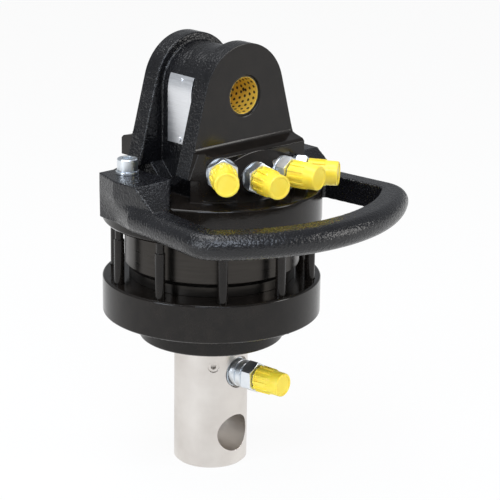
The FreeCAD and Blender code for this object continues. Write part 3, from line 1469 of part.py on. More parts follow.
def build_gallery_plugs():
    """Plugs of the shaft's drillings: two in the spindle's end and one in the shaft's side."""
    body = new_body("shaft_gallery_plugs", several=True)
    for angle, height in SHAFT_PORTS:
        sketch = new_sketch(body, "XY_Plane", SPINDLE_TOP - 0.5)
        circle(sketch, d.gallery_d / 2, *gallery_place(angle))
        pad(body, sketch, d.gallery_d, reverse=True)
    reach = SHAFT_R - d.plug_depth
    outward_pad(body, -d.plug_angle, d.plug_height, reach, d.plug_depth - d.plug_sink, [d.plug_d / 2])
    face = radial_sketch(body, -d.plug_angle, d.plug_height, SHAFT_R - d.plug_sink)
    hexagon(face, d.plug_d * 0.45)
    pocket(body, face, d.plug_depth * 0.4)


build_gallery_plugs()

# Every feature must have been computed and every body must be sound
doc.recompute()
for body in bodies:
    for feature in list(body.Group) + [body]:
        if "Invalid" in feature.State or "Error" in feature.State:
            raise RuntimeError(body.Label + ": " + feature.Name)
    if body.Shape.isNull() or not body.Shape.isValid():
        raise RuntimeError(body.Label + " has no sound shape")

os.makedirs(OUT_FOLDER, exist_ok=True)
for body in bodies:
    body.Shape.exportStep(os.path.join(OUT_FOLDER, body.Label + ".step"))
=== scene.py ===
# %% [markdown]
# A hydraulic rotator hangs between a crane's tip and its grapple and turns the grapple round.
# Its mechanical solids come ready from the imported frame. This lesson dresses them: it sets a
# plain studio, gives every solid a painted, turned or moulded finish, and models the pieces
# whose look depends on fine rounding, such as the cast head and the bent hose guard.

import math

import bmesh
import bpy
from mathutils import Matrix, Vector


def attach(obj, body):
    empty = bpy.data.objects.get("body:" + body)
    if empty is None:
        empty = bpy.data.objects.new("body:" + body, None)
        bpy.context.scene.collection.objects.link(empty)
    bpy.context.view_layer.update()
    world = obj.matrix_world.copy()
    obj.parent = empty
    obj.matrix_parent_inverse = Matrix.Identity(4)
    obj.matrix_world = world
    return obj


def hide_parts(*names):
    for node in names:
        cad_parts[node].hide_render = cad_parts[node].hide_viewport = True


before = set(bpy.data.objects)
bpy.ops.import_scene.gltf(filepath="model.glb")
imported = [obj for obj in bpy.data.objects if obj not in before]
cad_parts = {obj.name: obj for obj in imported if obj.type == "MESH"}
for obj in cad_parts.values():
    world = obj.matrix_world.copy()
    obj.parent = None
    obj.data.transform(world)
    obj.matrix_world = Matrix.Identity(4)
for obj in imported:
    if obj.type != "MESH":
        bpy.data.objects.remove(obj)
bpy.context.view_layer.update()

# %% [markdown]
# The photograph looks at the rotator's front left corner from a little above. A camera could be
# moved by eye until the picture fits, but a circle seen at a slant tells its own tilt, so the
# camera's place was worked out from the round edges of the ring and the flange, and it is given
# as plain numbers. A long lens far away keeps the verticals nearly parallel.

# %% Camera
CAMERA_PLACE = (-1.03320, -1.14320, 0.65162)
CAMERA_TURN = (72.8124, -0.7788, -42.9868)
LENS_MM = 146.69
SENSOR_MM = 36.0
NEAREST_M = 0.05
FARTHEST_M = 60.0

camera_data = bpy.data.cameras.new("photo_camera")
camera_data.lens = LENS_MM
camera_data.sensor_width = SENSOR_MM
camera_data.clip_start = NEAREST_M
camera_data.clip_end = FARTHEST_M
camera = bpy.data.objects.new("photo_camera", camera_data)
camera.location = CAMERA_PLACE
camera.rotation_euler = [math.radians(turn) for turn in CAMERA_TURN]
bpy.context.scene.collection.objects.link(camera)
bpy.context.scene.camera = camera
print("camera lens:", LENS_MM, "mm")

# %% [markdown]
# Finishes are built from nodes. Picture textures would be quicker, but they need files and a
# layout of the surface, while a pattern worked out from the object's own coordinates stays sharp
# at any distance and holds still when the piece turns. A small helper keeps each recipe short: it
# makes the nodes, joins them and leaves every plain number on the shader's own socket.

# %% Node helpers
class Recipe:
    """A material and short words for adding and joining its nodes."""

    def __init__(self, name, base, metallic=0.0, roughness=0.5, **sockets):
        self.material = bpy.data.materials.new(name)
        self.material.use_nodes = True
        self.tree = self.material.node_tree
        self.shader = self.tree.nodes["Principled BSDF"]
        self.shader.inputs["Base Color"].default_value = (*base, 1.0)
        self.shader.inputs["Metallic"].default_value = metallic
        self.shader.inputs["Roughness"].default_value = roughness
        for socket, value in sockets.items():
            self.shader.inputs[socket.replace("_", " ")].default_value = value
        self.place = self.add("ShaderNodeTexCoord").outputs["Object"]

    def add(self, kind, **settings):
        """Makes a node of this kind with these settings."""
        node = self.tree.nodes.new(kind)
        for setting, value in settings.items():
            setattr(node, setting, value)
        return node

    def join(self, output, target):
        """Draws a wire from an output to an input."""
        self.tree.links.new(output, target)

    def noise(self, per_metre, detail=3.0, rough=0.55, stretch=None):
        """Cloudy noise with so many bumps per metre, optionally stretched along the axes."""
        node = self.add("ShaderNodeTexNoise")
        node.inputs["Scale"].default_value = per_metre
        node.inputs["Detail"].default_value = detail
        node.inputs["Roughness"].default_value = rough
        source = self.place
        if stretch is not None:
            mapping = self.add("ShaderNodeMapping")
            mapping.inputs["Scale"].default_value = stretch
            self.join(source, mapping.inputs["Vector"])
            source = mapping.outputs["Vector"]
        self.join(source, node.inputs["Vector"])
        return node.outputs["Fac"]

    def maths(self, operation, first, second=0.0):
        """Works out one value from two, each a number or the output of a node."""
        node = self.add("ShaderNodeMath", operation=operation)
        for socket, value in zip(node.inputs, (first, second)):
            if isinstance(value, (int, float)):
                socket.default_value = value
            else:
                self.join(value, socket)
        return node.outputs["Value"]

    def spread(self, value, low, high, start=0.3, end=0.7):
        """Takes the part of a pattern between start and end to the range from low to high."""
        node = self.add("ShaderNodeMapRange")
        self.join(value, node.inputs["Value"])
        node.inputs["From Min"].default_value = start
        node.inputs["From Max"].default_value = end
        node.inputs["To Min"].default_value = low
        node.inputs["To Max"].default_value = high
        return node.outputs["Result"]

    def tint(self, value, first, second, start=0.3, end=0.7):
        """Blends two colours by a pattern and puts them on the shader."""
        ramp = self.add("ShaderNodeValToRGB")
        ramp.color_ramp.elements[0].position = start
        ramp.color_ramp.elements[0].color = (*first, 1.0)
        ramp.color_ramp.elements[1].position = end
        ramp.color_ramp.elements[1].color = (*second, 1.0)
        self.join(value, ramp.inputs["Fac"])
        self.join(ramp.outputs["Color"], self.shader.inputs["Base Color"])

    def gloss(self, value, low, high, start=0.3, end=0.7):
        """Lets the roughness follow a pattern, from low to high."""
        self.join(self.spread(value, low, high, start, end), self.shader.inputs["Roughness"])

    def bump(self, height, depth_m, strength=1.0, soften=None):
        """Raises the surface by a pattern; soften rounds sharp edges by that many metres."""
        node = self.add("ShaderNodeBump")
        node.inputs["Distance"].default_value = depth_m
        node.inputs["Strength"].default_value = strength
        self.join(height, node.inputs["Height"])
        if soften:
            edge = self.add("ShaderNodeBevel", samples=6)
            edge.inputs["Radius"].default_value = soften
            self.join(edge.outputs["Normal"], node.inputs["Normal"])
        self.join(node.outputs["Normal"], self.shader.inputs["Normal"])

    def axes(self):
        """The three object coordinates as separate values."""
        split = self.add("ShaderNodeSeparateXYZ")
        self.join(self.place, split.inputs["Vector"])
        return split.outputs["X"], split.outputs["Y"], split.outputs["Z"]


print("material helper ready:", Recipe.__name__)

# %% [markdown]
# The whole housing is sprayed with a thick glossy black. On the cast head the rough sand surface
# shows through as small soft pimples. One noise gives the pimples and a broader one the slow
# waves of a casting; real pimples in the mesh would need millions of faces. The forged guard has
# a finer, flatter grain.

# %% Paint on rough metal
cast_black = Recipe("cast_black", (0.006, 0.006, 0.007), roughness=0.24, Specular_IOR_Level=0.42)
pimples = cast_black.noise(520.0, detail=1.5, rough=0.5)
waves = cast_black.noise(60.0, detail=2.0)
cast_black.tint(waves, (0.0035, 0.0035, 0.004), (0.0065, 0.0065, 0.0075))
cast_black.gloss(pimples, 0.15, 0.28)
skin = cast_black.maths("MULTIPLY_ADD", waves, 2.0)
cast_black.join(pimples, skin.node.inputs[2])
cast_black.bump(skin, 0.0008, 0.9, soften=0.0012)

forged_black = Recipe("forged_black", (0.006, 0.006, 0.008), roughness=0.26, Specular_IOR_Level=0.5)
grains = forged_black.noise(560.0, detail=1.5, rough=0.5)
swell = forged_black.noise(50.0, detail=2.0)
forged_black.tint(swell, (0.0035, 0.0035, 0.0045), (0.007, 0.007, 0.0085))
forged_black.gloss(grains, 0.18, 0.32)
forged_black.bump(grains, 0.0007, 0.9)
print("paints:", cast_black.material.name, "and", forged_black.material.name)

# %% [markdown]
# The ears' outer faces, the head's ring, the flange and the cover screws were turned or milled
# before they were sprayed, so they are almost smooth and mirror the room. Only the faint marks of
# the tool show under the paint. The motor's ring lies deeper in and has hardly any paint: it
# is dark steel with a veil of overspray.

# %% Paint on machined metal
TURNED_BROWN = (0.009, 0.0072, 0.006)

turned_black = Recipe("turned_black", TURNED_BROWN, roughness=0.14, Specular_IOR_Level=0.3)
film = turned_black.noise(90.0, detail=3.0)
turned_black.tint(film, (0.007, 0.0056, 0.0046), (0.0125, 0.0098, 0.008))
tool_marks = turned_black.noise(70.0, detail=3.0, stretch=(0.5, 0.5, 30.0))
turned_black.gloss(tool_marks, 0.09, 0.2)
turned_black.bump(turned_black.noise(260.0, detail=2.0), 0.00012, 0.5)

stator_black = Recipe("stator_black", (0.045, 0.041, 0.037), metallic=0.85, roughness=0.3)
veil = stator_black.noise(60.0, detail=3.0, stretch=(0.6, 0.6, 9.0))
stator_black.tint(veil, (0.041, 0.037, 0.033), (0.052, 0.047, 0.042))
stator_black.gloss(veil, 0.27, 0.34)
stator_black.bump(veil, 0.00006, 0.5)
print("paints:", turned_black.material.name, "and", stator_black.material.name)

# %% [markdown]
# The lower shaft is bare turned steel. Very fine rings run round it, so its noise is squeezed
# along the height and its gloss changes from ring to ring. The hidden races and rollers are
# ground to a darker, finer shine. The zinc on the adapters and screws is bright and slightly
# blue; a faint cloudy bloom keeps it from looking like chrome.

# %% Bare steels
turned_steel = Recipe("turned_steel", (0.74, 0.7, 0.66), metallic=1.0, roughness=0.36)
rings = turned_steel.noise(90.0, detail=4.0, rough=0.7, stretch=(0.4, 0.4, 22.0))
stains = turned_steel.noise(30.0, detail=3.0)
turned_steel.tint(stains, (0.68, 0.64, 0.6), (0.8, 0.765, 0.725))
turned_steel.gloss(rings, 0.3, 0.44)
turned_steel.bump(rings, 0.00004, 0.6, soften=0.0004)

ground_steel = Recipe("ground_steel", (0.5, 0.5, 0.51), metallic=1.0, roughness=0.25)
grain = ground_steel.noise(900.0, detail=2.0, stretch=(1.0, 1.0, 0.2))
ground_steel.tint(grain, (0.44, 0.44, 0.45), (0.56, 0.56, 0.57))
ground_steel.gloss(grain, 0.2, 0.34)
ground_steel.bump(grain, 0.00003, 0.5, soften=0.0003)

zinc = Recipe("zinc_plate", (0.8, 0.85, 0.89), metallic=1.0, roughness=0.34)
bloom = zinc.noise(120.0, detail=3.0)
zinc.tint(bloom, (0.76, 0.81, 0.86), (0.87, 0.905, 0.93))
zinc.gloss(bloom, 0.28, 0.4)
zinc.bump(zinc.noise(500.0, detail=2.0), 0.00003, 0.4)
print("steels:", *(steel.material.name for steel in (turned_steel, ground_steel, zinc)))

# %% [markdown]
# The thread caps are bright lemon plastic. A moulded cap has a faint grain, and light goes a
# little way into it, so its colour drifts slowly and its edges stay warm. The seals are dull
# black rubber with some dust, and the type plate is thin alloy, brushed across its width.

# %% Plastic, rubber and the plate
LEMON = (0.98, 0.75, 0.06)
GLOW_INSIDE = {"Subsurface_Weight": 0.1, "Subsurface_Scale": 0.002}

cap_yellow = Recipe("cap_yellow", LEMON, roughness=0.34, **GLOW_INSIDE)
drift = cap_yellow.noise(90.0, detail=2.0)
cap_yellow.tint(drift, (0.97, 0.72, 0.045), (1.0, 0.79, 0.09))
cap_yellow.gloss(drift, 0.28, 0.42)
cap_yellow.bump(cap_yellow.noise(900.0, detail=1.0), 0.00004, 0.5)

seal_rubber = Recipe("seal_rubber", (0.03, 0.03, 0.032), roughness=0.6)
dust = seal_rubber.noise(200.0)
seal_rubber.tint(dust, (0.022, 0.022, 0.024), (0.045, 0.045, 0.047))
seal_rubber.gloss(dust, 0.5, 0.7)
seal_rubber.bump(seal_rubber.noise(1200.0), 0.00004, 0.5)

plate_alloy = Recipe("plate_alloy", (0.84, 0.85, 0.87), metallic=1.0, roughness=0.38)
brushing = plate_alloy.noise(60.0, detail=3.0, stretch=(1.0, 1.0, 30.0))
plate_alloy.tint(brushing, (0.78, 0.79, 0.81), (0.9, 0.91, 0.93))
plate_alloy.gloss(brushing, 0.3, 0.44)
plate_alloy.bump(brushing, 0.00002, 0.4)
print("other finishes:", *(made.material.name for made in (cap_yellow, seal_rubber, plate_alloy)))

# %% [markdown]
# The head's bushes are rolled from a golden bearing strip with rows of grease pockets. They are
# only a few tenths of a millimetre deep, so they are drawn in the finish, round the pin's axis: the
# angle counts the columns, the depth counts the rows, and every other row is shifted by half a
# column. The grease hole isn't modelled: one larger dark spot of painted shade stands for it. The
# end faces are darkened with painted shade too, as if they lay deeper in the housing. Lengths are
# in metres here, as the shader reads them.

# %% Bearing bronze with grease pockets
PIN_HEIGHT = 0.306
PIN_RADIUS = 0.014
BORE_REACH = 0.01425
POCKET_COLUMNS = 19
POCKET_PITCH = 0.0048
POCKET_DEPTH = 0.0004
POCKET_EDGE = (0.2, 0.3)
# The grease hole isn't modelled: a dark spot of painted shade stands for it, this far along the pin
# and with this soft edge.
HOLE_SHADE_DEPTH = 0.0192
HOLE_SHADE_EDGE = (0.0012, 0.0017)
GOLDEN = (1.0, 0.7, 0.11)
# Dark grease in the pockets; the same colour is painted shade on the grease hole and on the end
# faces.
GREASE_AND_SHADE = (0.035, 0.026, 0.014)


def distance(recipe, aside, along):
    """How far a point is away, from its two distances along the axes."""
    squares = [recipe.maths("POWER", side, 2.0) for side in (aside, along)]
    return recipe.maths("SQRT", recipe.maths("ADD", *squares))


def from_middle(recipe, count):
    """How far a running count is from the middle of its own step, from -0.5 to 0.5."""
    share = recipe.maths("FRACT", recipe.maths("ADD", count, 100.0))
    return recipe.maths("SUBTRACT", share, 0.5)


def bearing_bronze(name, pockets_and_shade):
    """Golden bearing metal; the last argument is 1 for a strip with rows of dark grease pocket dots
    and painted shade on its grease hole and end faces, and 0 for plain metal.
    """
    recipe = Recipe(name, GOLDEN, metallic=0.3, roughness=0.36)
    recipe.gloss(recipe.noise(140.0, detail=4.0), 0.3, 0.46)
    across, depth, height = recipe.axes()
    level = recipe.maths("SUBTRACT", height, PIN_HEIGHT)
    angle = recipe.maths("ARCTAN2", level, across)

    row = recipe.maths("DIVIDE", depth, POCKET_PITCH)
    odd = recipe.maths("MODULO", recipe.maths("ABSOLUTE", recipe.maths("FLOOR", row)), 2.0)
    column = recipe.maths("MULTIPLY", angle, POCKET_COLUMNS / (2.0 * math.pi))
    column = recipe.maths("ADD", column, recipe.maths("MULTIPLY", odd, 0.5))
    away = distance(recipe, from_middle(recipe, column), from_middle(recipe, row))
    dots = recipe.spread(away, 1.0, 0.0, *POCKET_EDGE)

    # A round dark spot of painted shade stands for the grease hole.
    hole_shade_aside = recipe.maths("MULTIPLY", angle, PIN_RADIUS)
    hole_shade_along = recipe.maths("SUBTRACT", recipe.maths("ABSOLUTE", depth), HOLE_SHADE_DEPTH)
    away = distance(recipe, hole_shade_aside, hole_shade_along)
    hole_shade = recipe.spread(away, 1.0, 0.0, *HOLE_SHADE_EDGE)
    grease_and_shade = recipe.maths("MAXIMUM", dots, hole_shade)

    # Outside the bore, the end faces take the dark colour too, as painted shade.
    in_bore = recipe.maths("LESS_THAN", distance(recipe, level, across), BORE_REACH)
    grease_and_shade = recipe.maths("MAXIMUM", grease_and_shade, recipe.maths("SUBTRACT", 1.0, in_bore))
    grease_and_shade = recipe.maths("MULTIPLY", grease_and_shade, pockets_and_shade)
    recipe.tint(grease_and_shade, GOLDEN, GREASE_AND_SHADE, start=0.15, end=0.85)
    recipe.bump(recipe.maths("SUBTRACT", 1.0, grease_and_shade), POCKET_DEPTH, 0.7)
    return recipe


pin_bronze = bearing_bronze("pin_bush_bronze", 1.0)
plain_bronze = bearing_bronze("plain_bush_bronze", 0.0)
print("bronzes:", pin_bronze.material.name, "and", plain_bronze.material.name)

# %% [markdown]
# The motor's inner pieces are out of sight, and the shaft's own solid is already as round as it
# needs to be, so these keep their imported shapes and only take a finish.

# %% Finishes of the inner pieces and the shaft
def finish_nodes(recipe, *nodes):
    """Puts a finish on CAD nodes of the frame."""
    for name in nodes:
        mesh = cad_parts[name].data
        mesh.materials.clear()
        mesh.materials.append(recipe.material)
    print(recipe.material.name, "on", ", ".join(nodes))


finish_nodes(ground_steel, "vanes", "vane_springs", "bearing_rollers", "thrust_washer_lower")
finish_nodes(ground_steel, "thrust_washer_upper", "stator_dowels")
finish_nodes(turned_steel, "rotor_shaft", "shaft_gallery_plugs")
finish_nodes(plain_bronze, "upper_bush", "lower_bush", "roller_cage")
finish_nodes(seal_rubber, "stator_orings", "swivel_seals", "shaft_seal", "wiper_ring")

# %% [markdown]
# Every piece below is made with the same few steps: an object is made the active one, its mesh is
# changed in edit mode, and modifiers are applied one by one. An operator acts on all that is
# selected, so each helper first selects no more than its own piece. Lengths are in mm from here
# on, and MM takes them to metres.

# %% Modelling helpers
MM = 0.001
SMOOTH_ANGLE = math.radians(34.0)


def only(piece):
    """Leaves this object alone selected, and active."""
    bpy.ops.object.select_all(action="DESELECT")
    piece.select_set(True)
    bpy.context.view_layer.objects.active = piece


def edit(piece):
    """Opens this object alone in edit mode, with its whole mesh selected."""
    only(piece)
    bpy.ops.object.mode_set(mode="EDIT")
    bpy.ops.mesh.select_all(action="SELECT")


def leave():
    """Goes back to object mode."""
    bpy.ops.object.mode_set(mode="OBJECT")


def apply(piece, kind, **settings):
    """Adds a modifier with these settings and applies it."""
    only(piece)
    modifier = piece.modifiers.new(kind.lower(), kind)
    for setting, value in settings.items():
        setattr(modifier, setting, value)
    bpy.ops.object.modifier_apply(modifier=modifier.name)


def pick(piece, test):
    """In edit mode, selects the points that pass the test."""
    bpy.ops.mesh.select_mode(type="VERT")
    bpy.ops.mesh.select_all(action="DESELECT")
    mesh = bmesh.from_edit_mesh(piece.data)
    for point in mesh.verts:
        if test(point.co):
            point.select_set(True)
    mesh.select_flush_mode()
    bmesh.update_edit_mesh(piece.data)


def hand_over(piece, finish, slot, body, *nodes):
    """Gives a finished piece its material and the body it rides on; the slot is not used."""
    piece.data.materials.clear()
    piece.data.materials.append(finish.material)
    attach(piece, body)
    if nodes:
        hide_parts(*nodes)
    print(piece.name, len(piece.data.polygons), "faces on", body)


def smooth(piece):
    """Shades gentle edges smooth and keeps large flat faces flat."""
    only(piece)
    bpy.ops.object.shade_smooth_by_angle(angle=SMOOTH_ANGLE)
    apply(piece, "WEIGHTED_NORMAL", keep_sharp=True)


print("modelling helpers ready, lengths in mm")

# %% [markdown]
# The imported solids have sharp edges, and their triangles don't share points. A merged copy joins
# those points. Its triangles can then be dissolved into one face for each flat side, or be
# remeshed, and both need a closed skin to work on.

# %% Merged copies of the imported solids
DOUBLES_MM = 0.002
FLAT_ANGLE = math.radians(0.3)


def merged_copy(node, name):
    """A copy of a CAD node's mesh whose triangles share their points."""
    piece = bpy.data.objects.new(name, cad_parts[node].data.copy())
    bpy.context.scene.collection.objects.link(piece)
    edit(piece)
    bpy.ops.mesh.remove_doubles(threshold=DOUBLES_MM * MM)
    bpy.ops.mesh.customdata_custom_splitnormals_clear()
    leave()
    return piece


print("points nearer than", DOUBLES_MM, "mm are merged")

# %% [markdown]
# Real edges are always a little broken, and a thin bevel lets them catch the light. Every edge
# that turns by more than a gentle angle gets a bevel weight of one, and the modifier rounds just
# those. The head's swivel bore and its seat on the stator are out of sight and run or sit tight
# on other pieces, so their edges stay sharp.

# %% Edges to be broken
SHARP_ANGLE = math.radians(28.0)
SWIVEL_REACH = 50.0 * MM
SWIVEL_TOP = 278.0 * MM
SEAT_REACH = 82.0 * MM
SEAT_TOP = 202.5 * MM


def inside_head(point):
    """Whether a point of the head is in its swivel bore or on its seat on the stator."""
    reach = math.hypot(point.x, point.y)
    in_swivel = reach < SWIVEL_REACH and point.z < SWIVEL_TOP
    on_seat = reach < SEAT_REACH and point.z < SEAT_TOP
    return in_swivel or on_seat


def weigh_edges(piece, stays_sharp=None):
    """In edit mode, marks the sharp edges for the bevel, apart from those that pass the test."""
    bpy.ops.mesh.select_mode(type="EDGE")
    bpy.ops.mesh.select_all(action="DESELECT")
    bpy.ops.mesh.edges_select_sharp(sharpness=SHARP_ANGLE)
    if stays_sharp:
        mesh = bmesh.from_edit_mesh(piece.data)
        for edge in mesh.edges:
            if edge.select and all(stays_sharp(point.co) for point in edge.verts):
                edge.select_set(False)
        bmesh.update_edit_mesh(piece.data)
    bpy.ops.transform.edge_bevelweight(value=1.0)


print("edges over", round(math.degrees(SHARP_ANGLE)), "degrees are broken")

# %% [markdown]
# The finished copies stand in for their solids. Each row gives a solid, the width of its bevel in
# mm, its finish, its slot and its body. Heavy cast edges are rounder than those of a thin plate.
# The bevel isn't clamped, because one short edge anywhere would thin it everywhere.

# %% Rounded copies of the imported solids
BEVEL = {
    "limit_method": "WEIGHT",
    "use_clamp_overlap": False,
    "miter_outer": "MITER_SHARP",
    "segments": 2,
}


def rounded(node, width, finish, slot, body):
    """A copy of a solid whose outer edges are broken by a bevel of this width in mm."""
    piece = merged_copy(node, node + "_rounded")
    edit(piece)
    bpy.ops.mesh.dissolve_limited(angle_limit=FLAT_ANGLE)
    weigh_edges(piece, inside_head if node == "head_casting" else None)
    leave()
    apply(piece, "BEVEL", width=width * MM, **BEVEL)
    smooth(piece)
    hand_over(piece, finish, slot, body, node)
    return piece


ROUNDED = [
    ("head_casting", 0.6, cast_black, "gloss_black", "head"),
    ("lower_cover", 0.5, turned_black, "gloss_black", "head"),
    ("stator_ring", 0.4, stator_black, "gloss_black", "head"),
    ("cover_screws", 0.3, turned_black, "gloss_black", "head"),
    ("pin_bush_front", 0.2, pin_bronze, "bronze", "head"),
    ("pin_bush_rear", 0.2, pin_bronze, "bronze", "head"),
    ("type_plate", 0.15, plate_alloy, "plate_alloy", "head"),
    ("type_plate_rivets", 0.3, plate_alloy, "plate_alloy", "head"),
    ("guard_screws", 0.5, zinc, "zinc_steel", "head"),
    ("guard_lock_washers", 0.3, zinc, "zinc_steel", "head"),
    ("port_washers", 0.3, zinc, "zinc_steel", "head"),
    ("shaft_washers", 0.3, zinc, "zinc_steel", "shaft"),
]
rounded_pieces = {row[0]: rounded(*row) for row in ROUNDED}

# %% [markdown]
# A tool has been over the outer faces of the ears and over the head's ring, so those faces of the
# casting take the turned finish. They are found by their place: beyond the ears' rough sides, or
# below the ring's top.

# %% Machined faces of the head
EAR_FACE = 36.1 * MM
RING_TOP = 231.6 * MM

head = rounded_pieces["head_casting"].data
head.materials.append(turned_black.material)
for face in head.polygons:
    machined = abs(face.center.y) > EAR_FACE or face.center.z < RING_TOP
    face.material_index = 1 if machined else 0
print("machined faces:", sum(face.material_index for face in head.polygons))

# %% [markdown]
# The hose guard is forged, so nothing on it is sharp, and a bevel would look too crisp. Its copy
# is remeshed into even small squares instead. The outer side of each lug then leans in below the
# head ring's top, more and more over a short run behind the bar, and smoothing melts the lugs
# into the bar and rounds every edge alike.

# %% Hose guard
GUARD_VOXEL = 1.0
GUARD_ROUNDS = 7
LEAN_FROM = 87.5
LEAN_TOP = 234.0
LEAN_DEPTH = 20.0
LEAN_START = 18.0
LEAN_RUN = 30.0
LEAN_SHARE = 0.85


def clamped(value):
    """The value, held between 0 and 1."""
    return min(max(value, 0.0), 1.0)


guard = merged_copy("hose_guard", "hose_guard_forged")
apply(guard, "REMESH", mode="VOXEL", voxel_size=GUARD_VOXEL * MM)
for point in guard.data.vertices:
    outer = abs(point.co.x) / MM - LEAN_FROM
    below = clamped((LEAN_TOP - point.co.z / MM) / LEAN_DEPTH)
    behind = clamped((point.co.y / MM + LEAN_START) / LEAN_RUN)
    if outer > 0.0:
        inwards = outer * LEAN_SHARE * below * behind * MM
        point.co.x -= math.copysign(inwards, point.co.x)
apply(guard, "SMOOTH", factor=0.5, iterations=GUARD_ROUNDS)
only(guard)
bpy.ops.object.shade_smooth()
hand_over(guard, forged_black, "gloss_black", "head", "hose_guard")

# %% [markdown]
# Adapters and caps are turned shapes. A drawn outline could be spun round an axis, but that
# leaves a seam and poles to close. Here a piece starts as a disc, and each further ring of the
# outline is one extrusion and one change of size, so it stays closed from the first step to the
# last.

# %% Turned pieces
DISC_STEPS = 48


def turned(name, outline, steps=DISC_STEPS):
    """Builds a closed turned piece along Z from (radius, height) pairs in mm."""
    (radius, level), *others = outline
    bpy.ops.object.select_all(action="DESELECT")
    bpy.ops.mesh.primitive_circle_add(vertices=steps, radius=radius * MM, fill_type="NGON")
    piece = bpy.context.object
    piece.name = name
    edit(piece)
    bpy.ops.transform.translate(value=(0.0, 0.0, level * MM))
    for next_radius, next_level in others:
        rise = {"value": (0.0, 0.0, (next_level - level) * MM)}
        bpy.ops.mesh.extrude_region_move(TRANSFORM_OT_translate=rise)
        share = next_radius / radius
        bpy.ops.transform.resize(value=(share, share, 1.0), center_override=(0.0, 0.0, 0.0))
        radius, level = next_radius, next_level
    bpy.ops.mesh.select_all(action="SELECT")
    bpy.ops.mesh.normals_make_consistent(inside=False)
    leave()
    return piece


def joined(name, parts):
    """Joins parts into one piece of this name."""
    bpy.ops.object.select_all(action="DESELECT")
    for part in parts:
        part.select_set(True)
    bpy.context.view_layer.objects.active = parts[0]
    bpy.ops.object.join()
    parts[0].name = name
    parts[0].data.name = name
    return parts[0]


print("turned pieces have", DISC_STEPS, "sides")

# %% [markdown]
# Four ports sit round the head's drum and two on the shaft. Each is given by its angle from the
# front and its height, and everything that screws into a port is modelled once, upright on the
# axis. Its copies are then laid down and turned to face outwards.

# %% Places of the ports
RING_LEVEL = 231.5
HEAD_SEAT = 64.0
HEAD_PORTS = [
    (-36.0, RING_LEVEL + 23.5),
    (-12.0, RING_LEVEL + 18.5),
    (12.0, RING_LEVEL + 18.5),
    (36.0, RING_LEVEL + 12.3),
]
SHAFT_SEAT = 24.5
SHAFT_PORTS = [(8.0, 79.0), (142.0, 79.0)]
WASHER = 2.0


def outwards(angle, level, reach):
    """The place of a piece built along Z that points outwards from the axis at this angle."""
    turn = math.radians(angle)
    start = Vector((math.sin(turn) * reach, -math.cos(turn) * reach, level)) * MM
    laid_down = Matrix.Rotation(math.radians(90.0), 4, "X")
    return Matrix.Translation(start) @ Matrix.Rotation(turn, 4, "Z") @ laid_down


def at_ports(name, model, ports, reach):
    """Copies a piece to each port, outwards from this reach, and joins the copies."""
    copies = []
    for angle, level in ports:
        copy = bpy.data.objects.new(name, model.data.copy())
        copy.data.transform(outwards(angle, level, reach))
        bpy.context.scene.collection.objects.link(copy)
        copies.append(copy)
    bpy.data.objects.remove(model)
    return joined(name, copies)


print("ports:", len(HEAD_PORTS), "on the head,", len(SHAFT_PORTS), "on the shaft")

# %% [markdown]
# An adapter's hexagon is cut from a round bar, which leaves a curved chamfer on each corner. A
# six-sided prism with a bevel would show straight ones, so the same is done as on the lathe: a
# turned blank with chamfered ends is cut to a six-sided bar. The thread is a row of close rings,
# because its slope can't be seen at this size.

# %% Hexagons and threads
ACROSS_FLATS = 22.0
BLANK_RADIUS = 12.9
BLANK_END = 10.6
BLANK_CHAMFER = 1.25
BLANK_STEPS = 72
BAR_SPARE = 4
THREAD_RADIUS = 8.2
THREAD_ROOT = THREAD_RADIUS - 0.8
THREAD_PITCH = 1.5


def chamfered_hexagon(name, length):
    """A hexagon of this length along Z, with a curved chamfer on each corner."""
    outline = [(BLANK_END, 0.0), (BLANK_RADIUS, BLANK_CHAMFER)]
    outline += [(BLANK_RADIUS, length - BLANK_CHAMFER), (BLANK_END, length)]
    blank = turned(name, outline, steps=BLANK_STEPS)
    bar_size = {"radius": ACROSS_FLATS / math.sqrt(3.0) * MM, "depth": (length + BAR_SPARE) * MM}
    middle = (0.0, 0.0, length / 2 * MM)
    bpy.ops.mesh.primitive_cylinder_add(vertices=6, location=middle, **bar_size)
    bar = bpy.context.object
    only(bar)
    bpy.ops.object.transform_apply(location=True)
    apply(blank, "BOOLEAN", operation="INTERSECT", object=bar, solver="EXACT")
    bpy.data.objects.remove(bar)
    return blank


def thread(name, start, length):
    """A thread's ridges as close rings, with a small chamfer at the free end."""
    outline = [(THREAD_RADIUS - 0.9, start)]
    level = start
    while level + THREAD_PITCH <= start + length - 1.0:
        outline += [(THREAD_ROOT, level + 0.1), (THREAD_RADIUS, level + 0.65)]
        outline += [(THREAD_RADIUS, level + 0.85), (THREAD_ROOT, level + 1.4)]
        level += THREAD_PITCH
    outline += [(THREAD_ROOT, start + length - 0.2), (THREAD_RADIUS - 1.2, start + length)]
    return turned(name, outline)


print("hexagons are", ACROSS_FLATS, "mm across their flats")

# %% [markdown]
# The head's adapters have their hexagon right on the washer. A stub goes into the port, and the
# threaded neck carries the cap.

# %% Adapters of the head
HEAD_HEXAGON = 9.0
NECK_LENGTH = 13.0
STUB_RADIUS = 8.0
STUB_END = 7.6

hexagon = chamfered_hexagon("adapter_hexagon", HEAD_HEXAGON)
neck = thread("adapter_neck", HEAD_HEXAGON, NECK_LENGTH)
stub = turned("adapter_stub", [(STUB_END, -13.5), (STUB_RADIUS, -13.0), (STUB_RADIUS, 0.0)])
adapter = joined("port_adapter", [hexagon, neck, stub])
adapters = at_ports("port_adapters", adapter, HEAD_PORTS, HEAD_SEAT + WASHER)
smooth(adapters)
hand_over(adapters, zinc, "zinc_steel", "head", "port_fittings")

# %% [markdown]
# The shaft's adapters are longer: a round barrel with a groove lies on the shaft, and the hexagon
# comes after it. The barrel's outline gives a radius and a height for each ring.

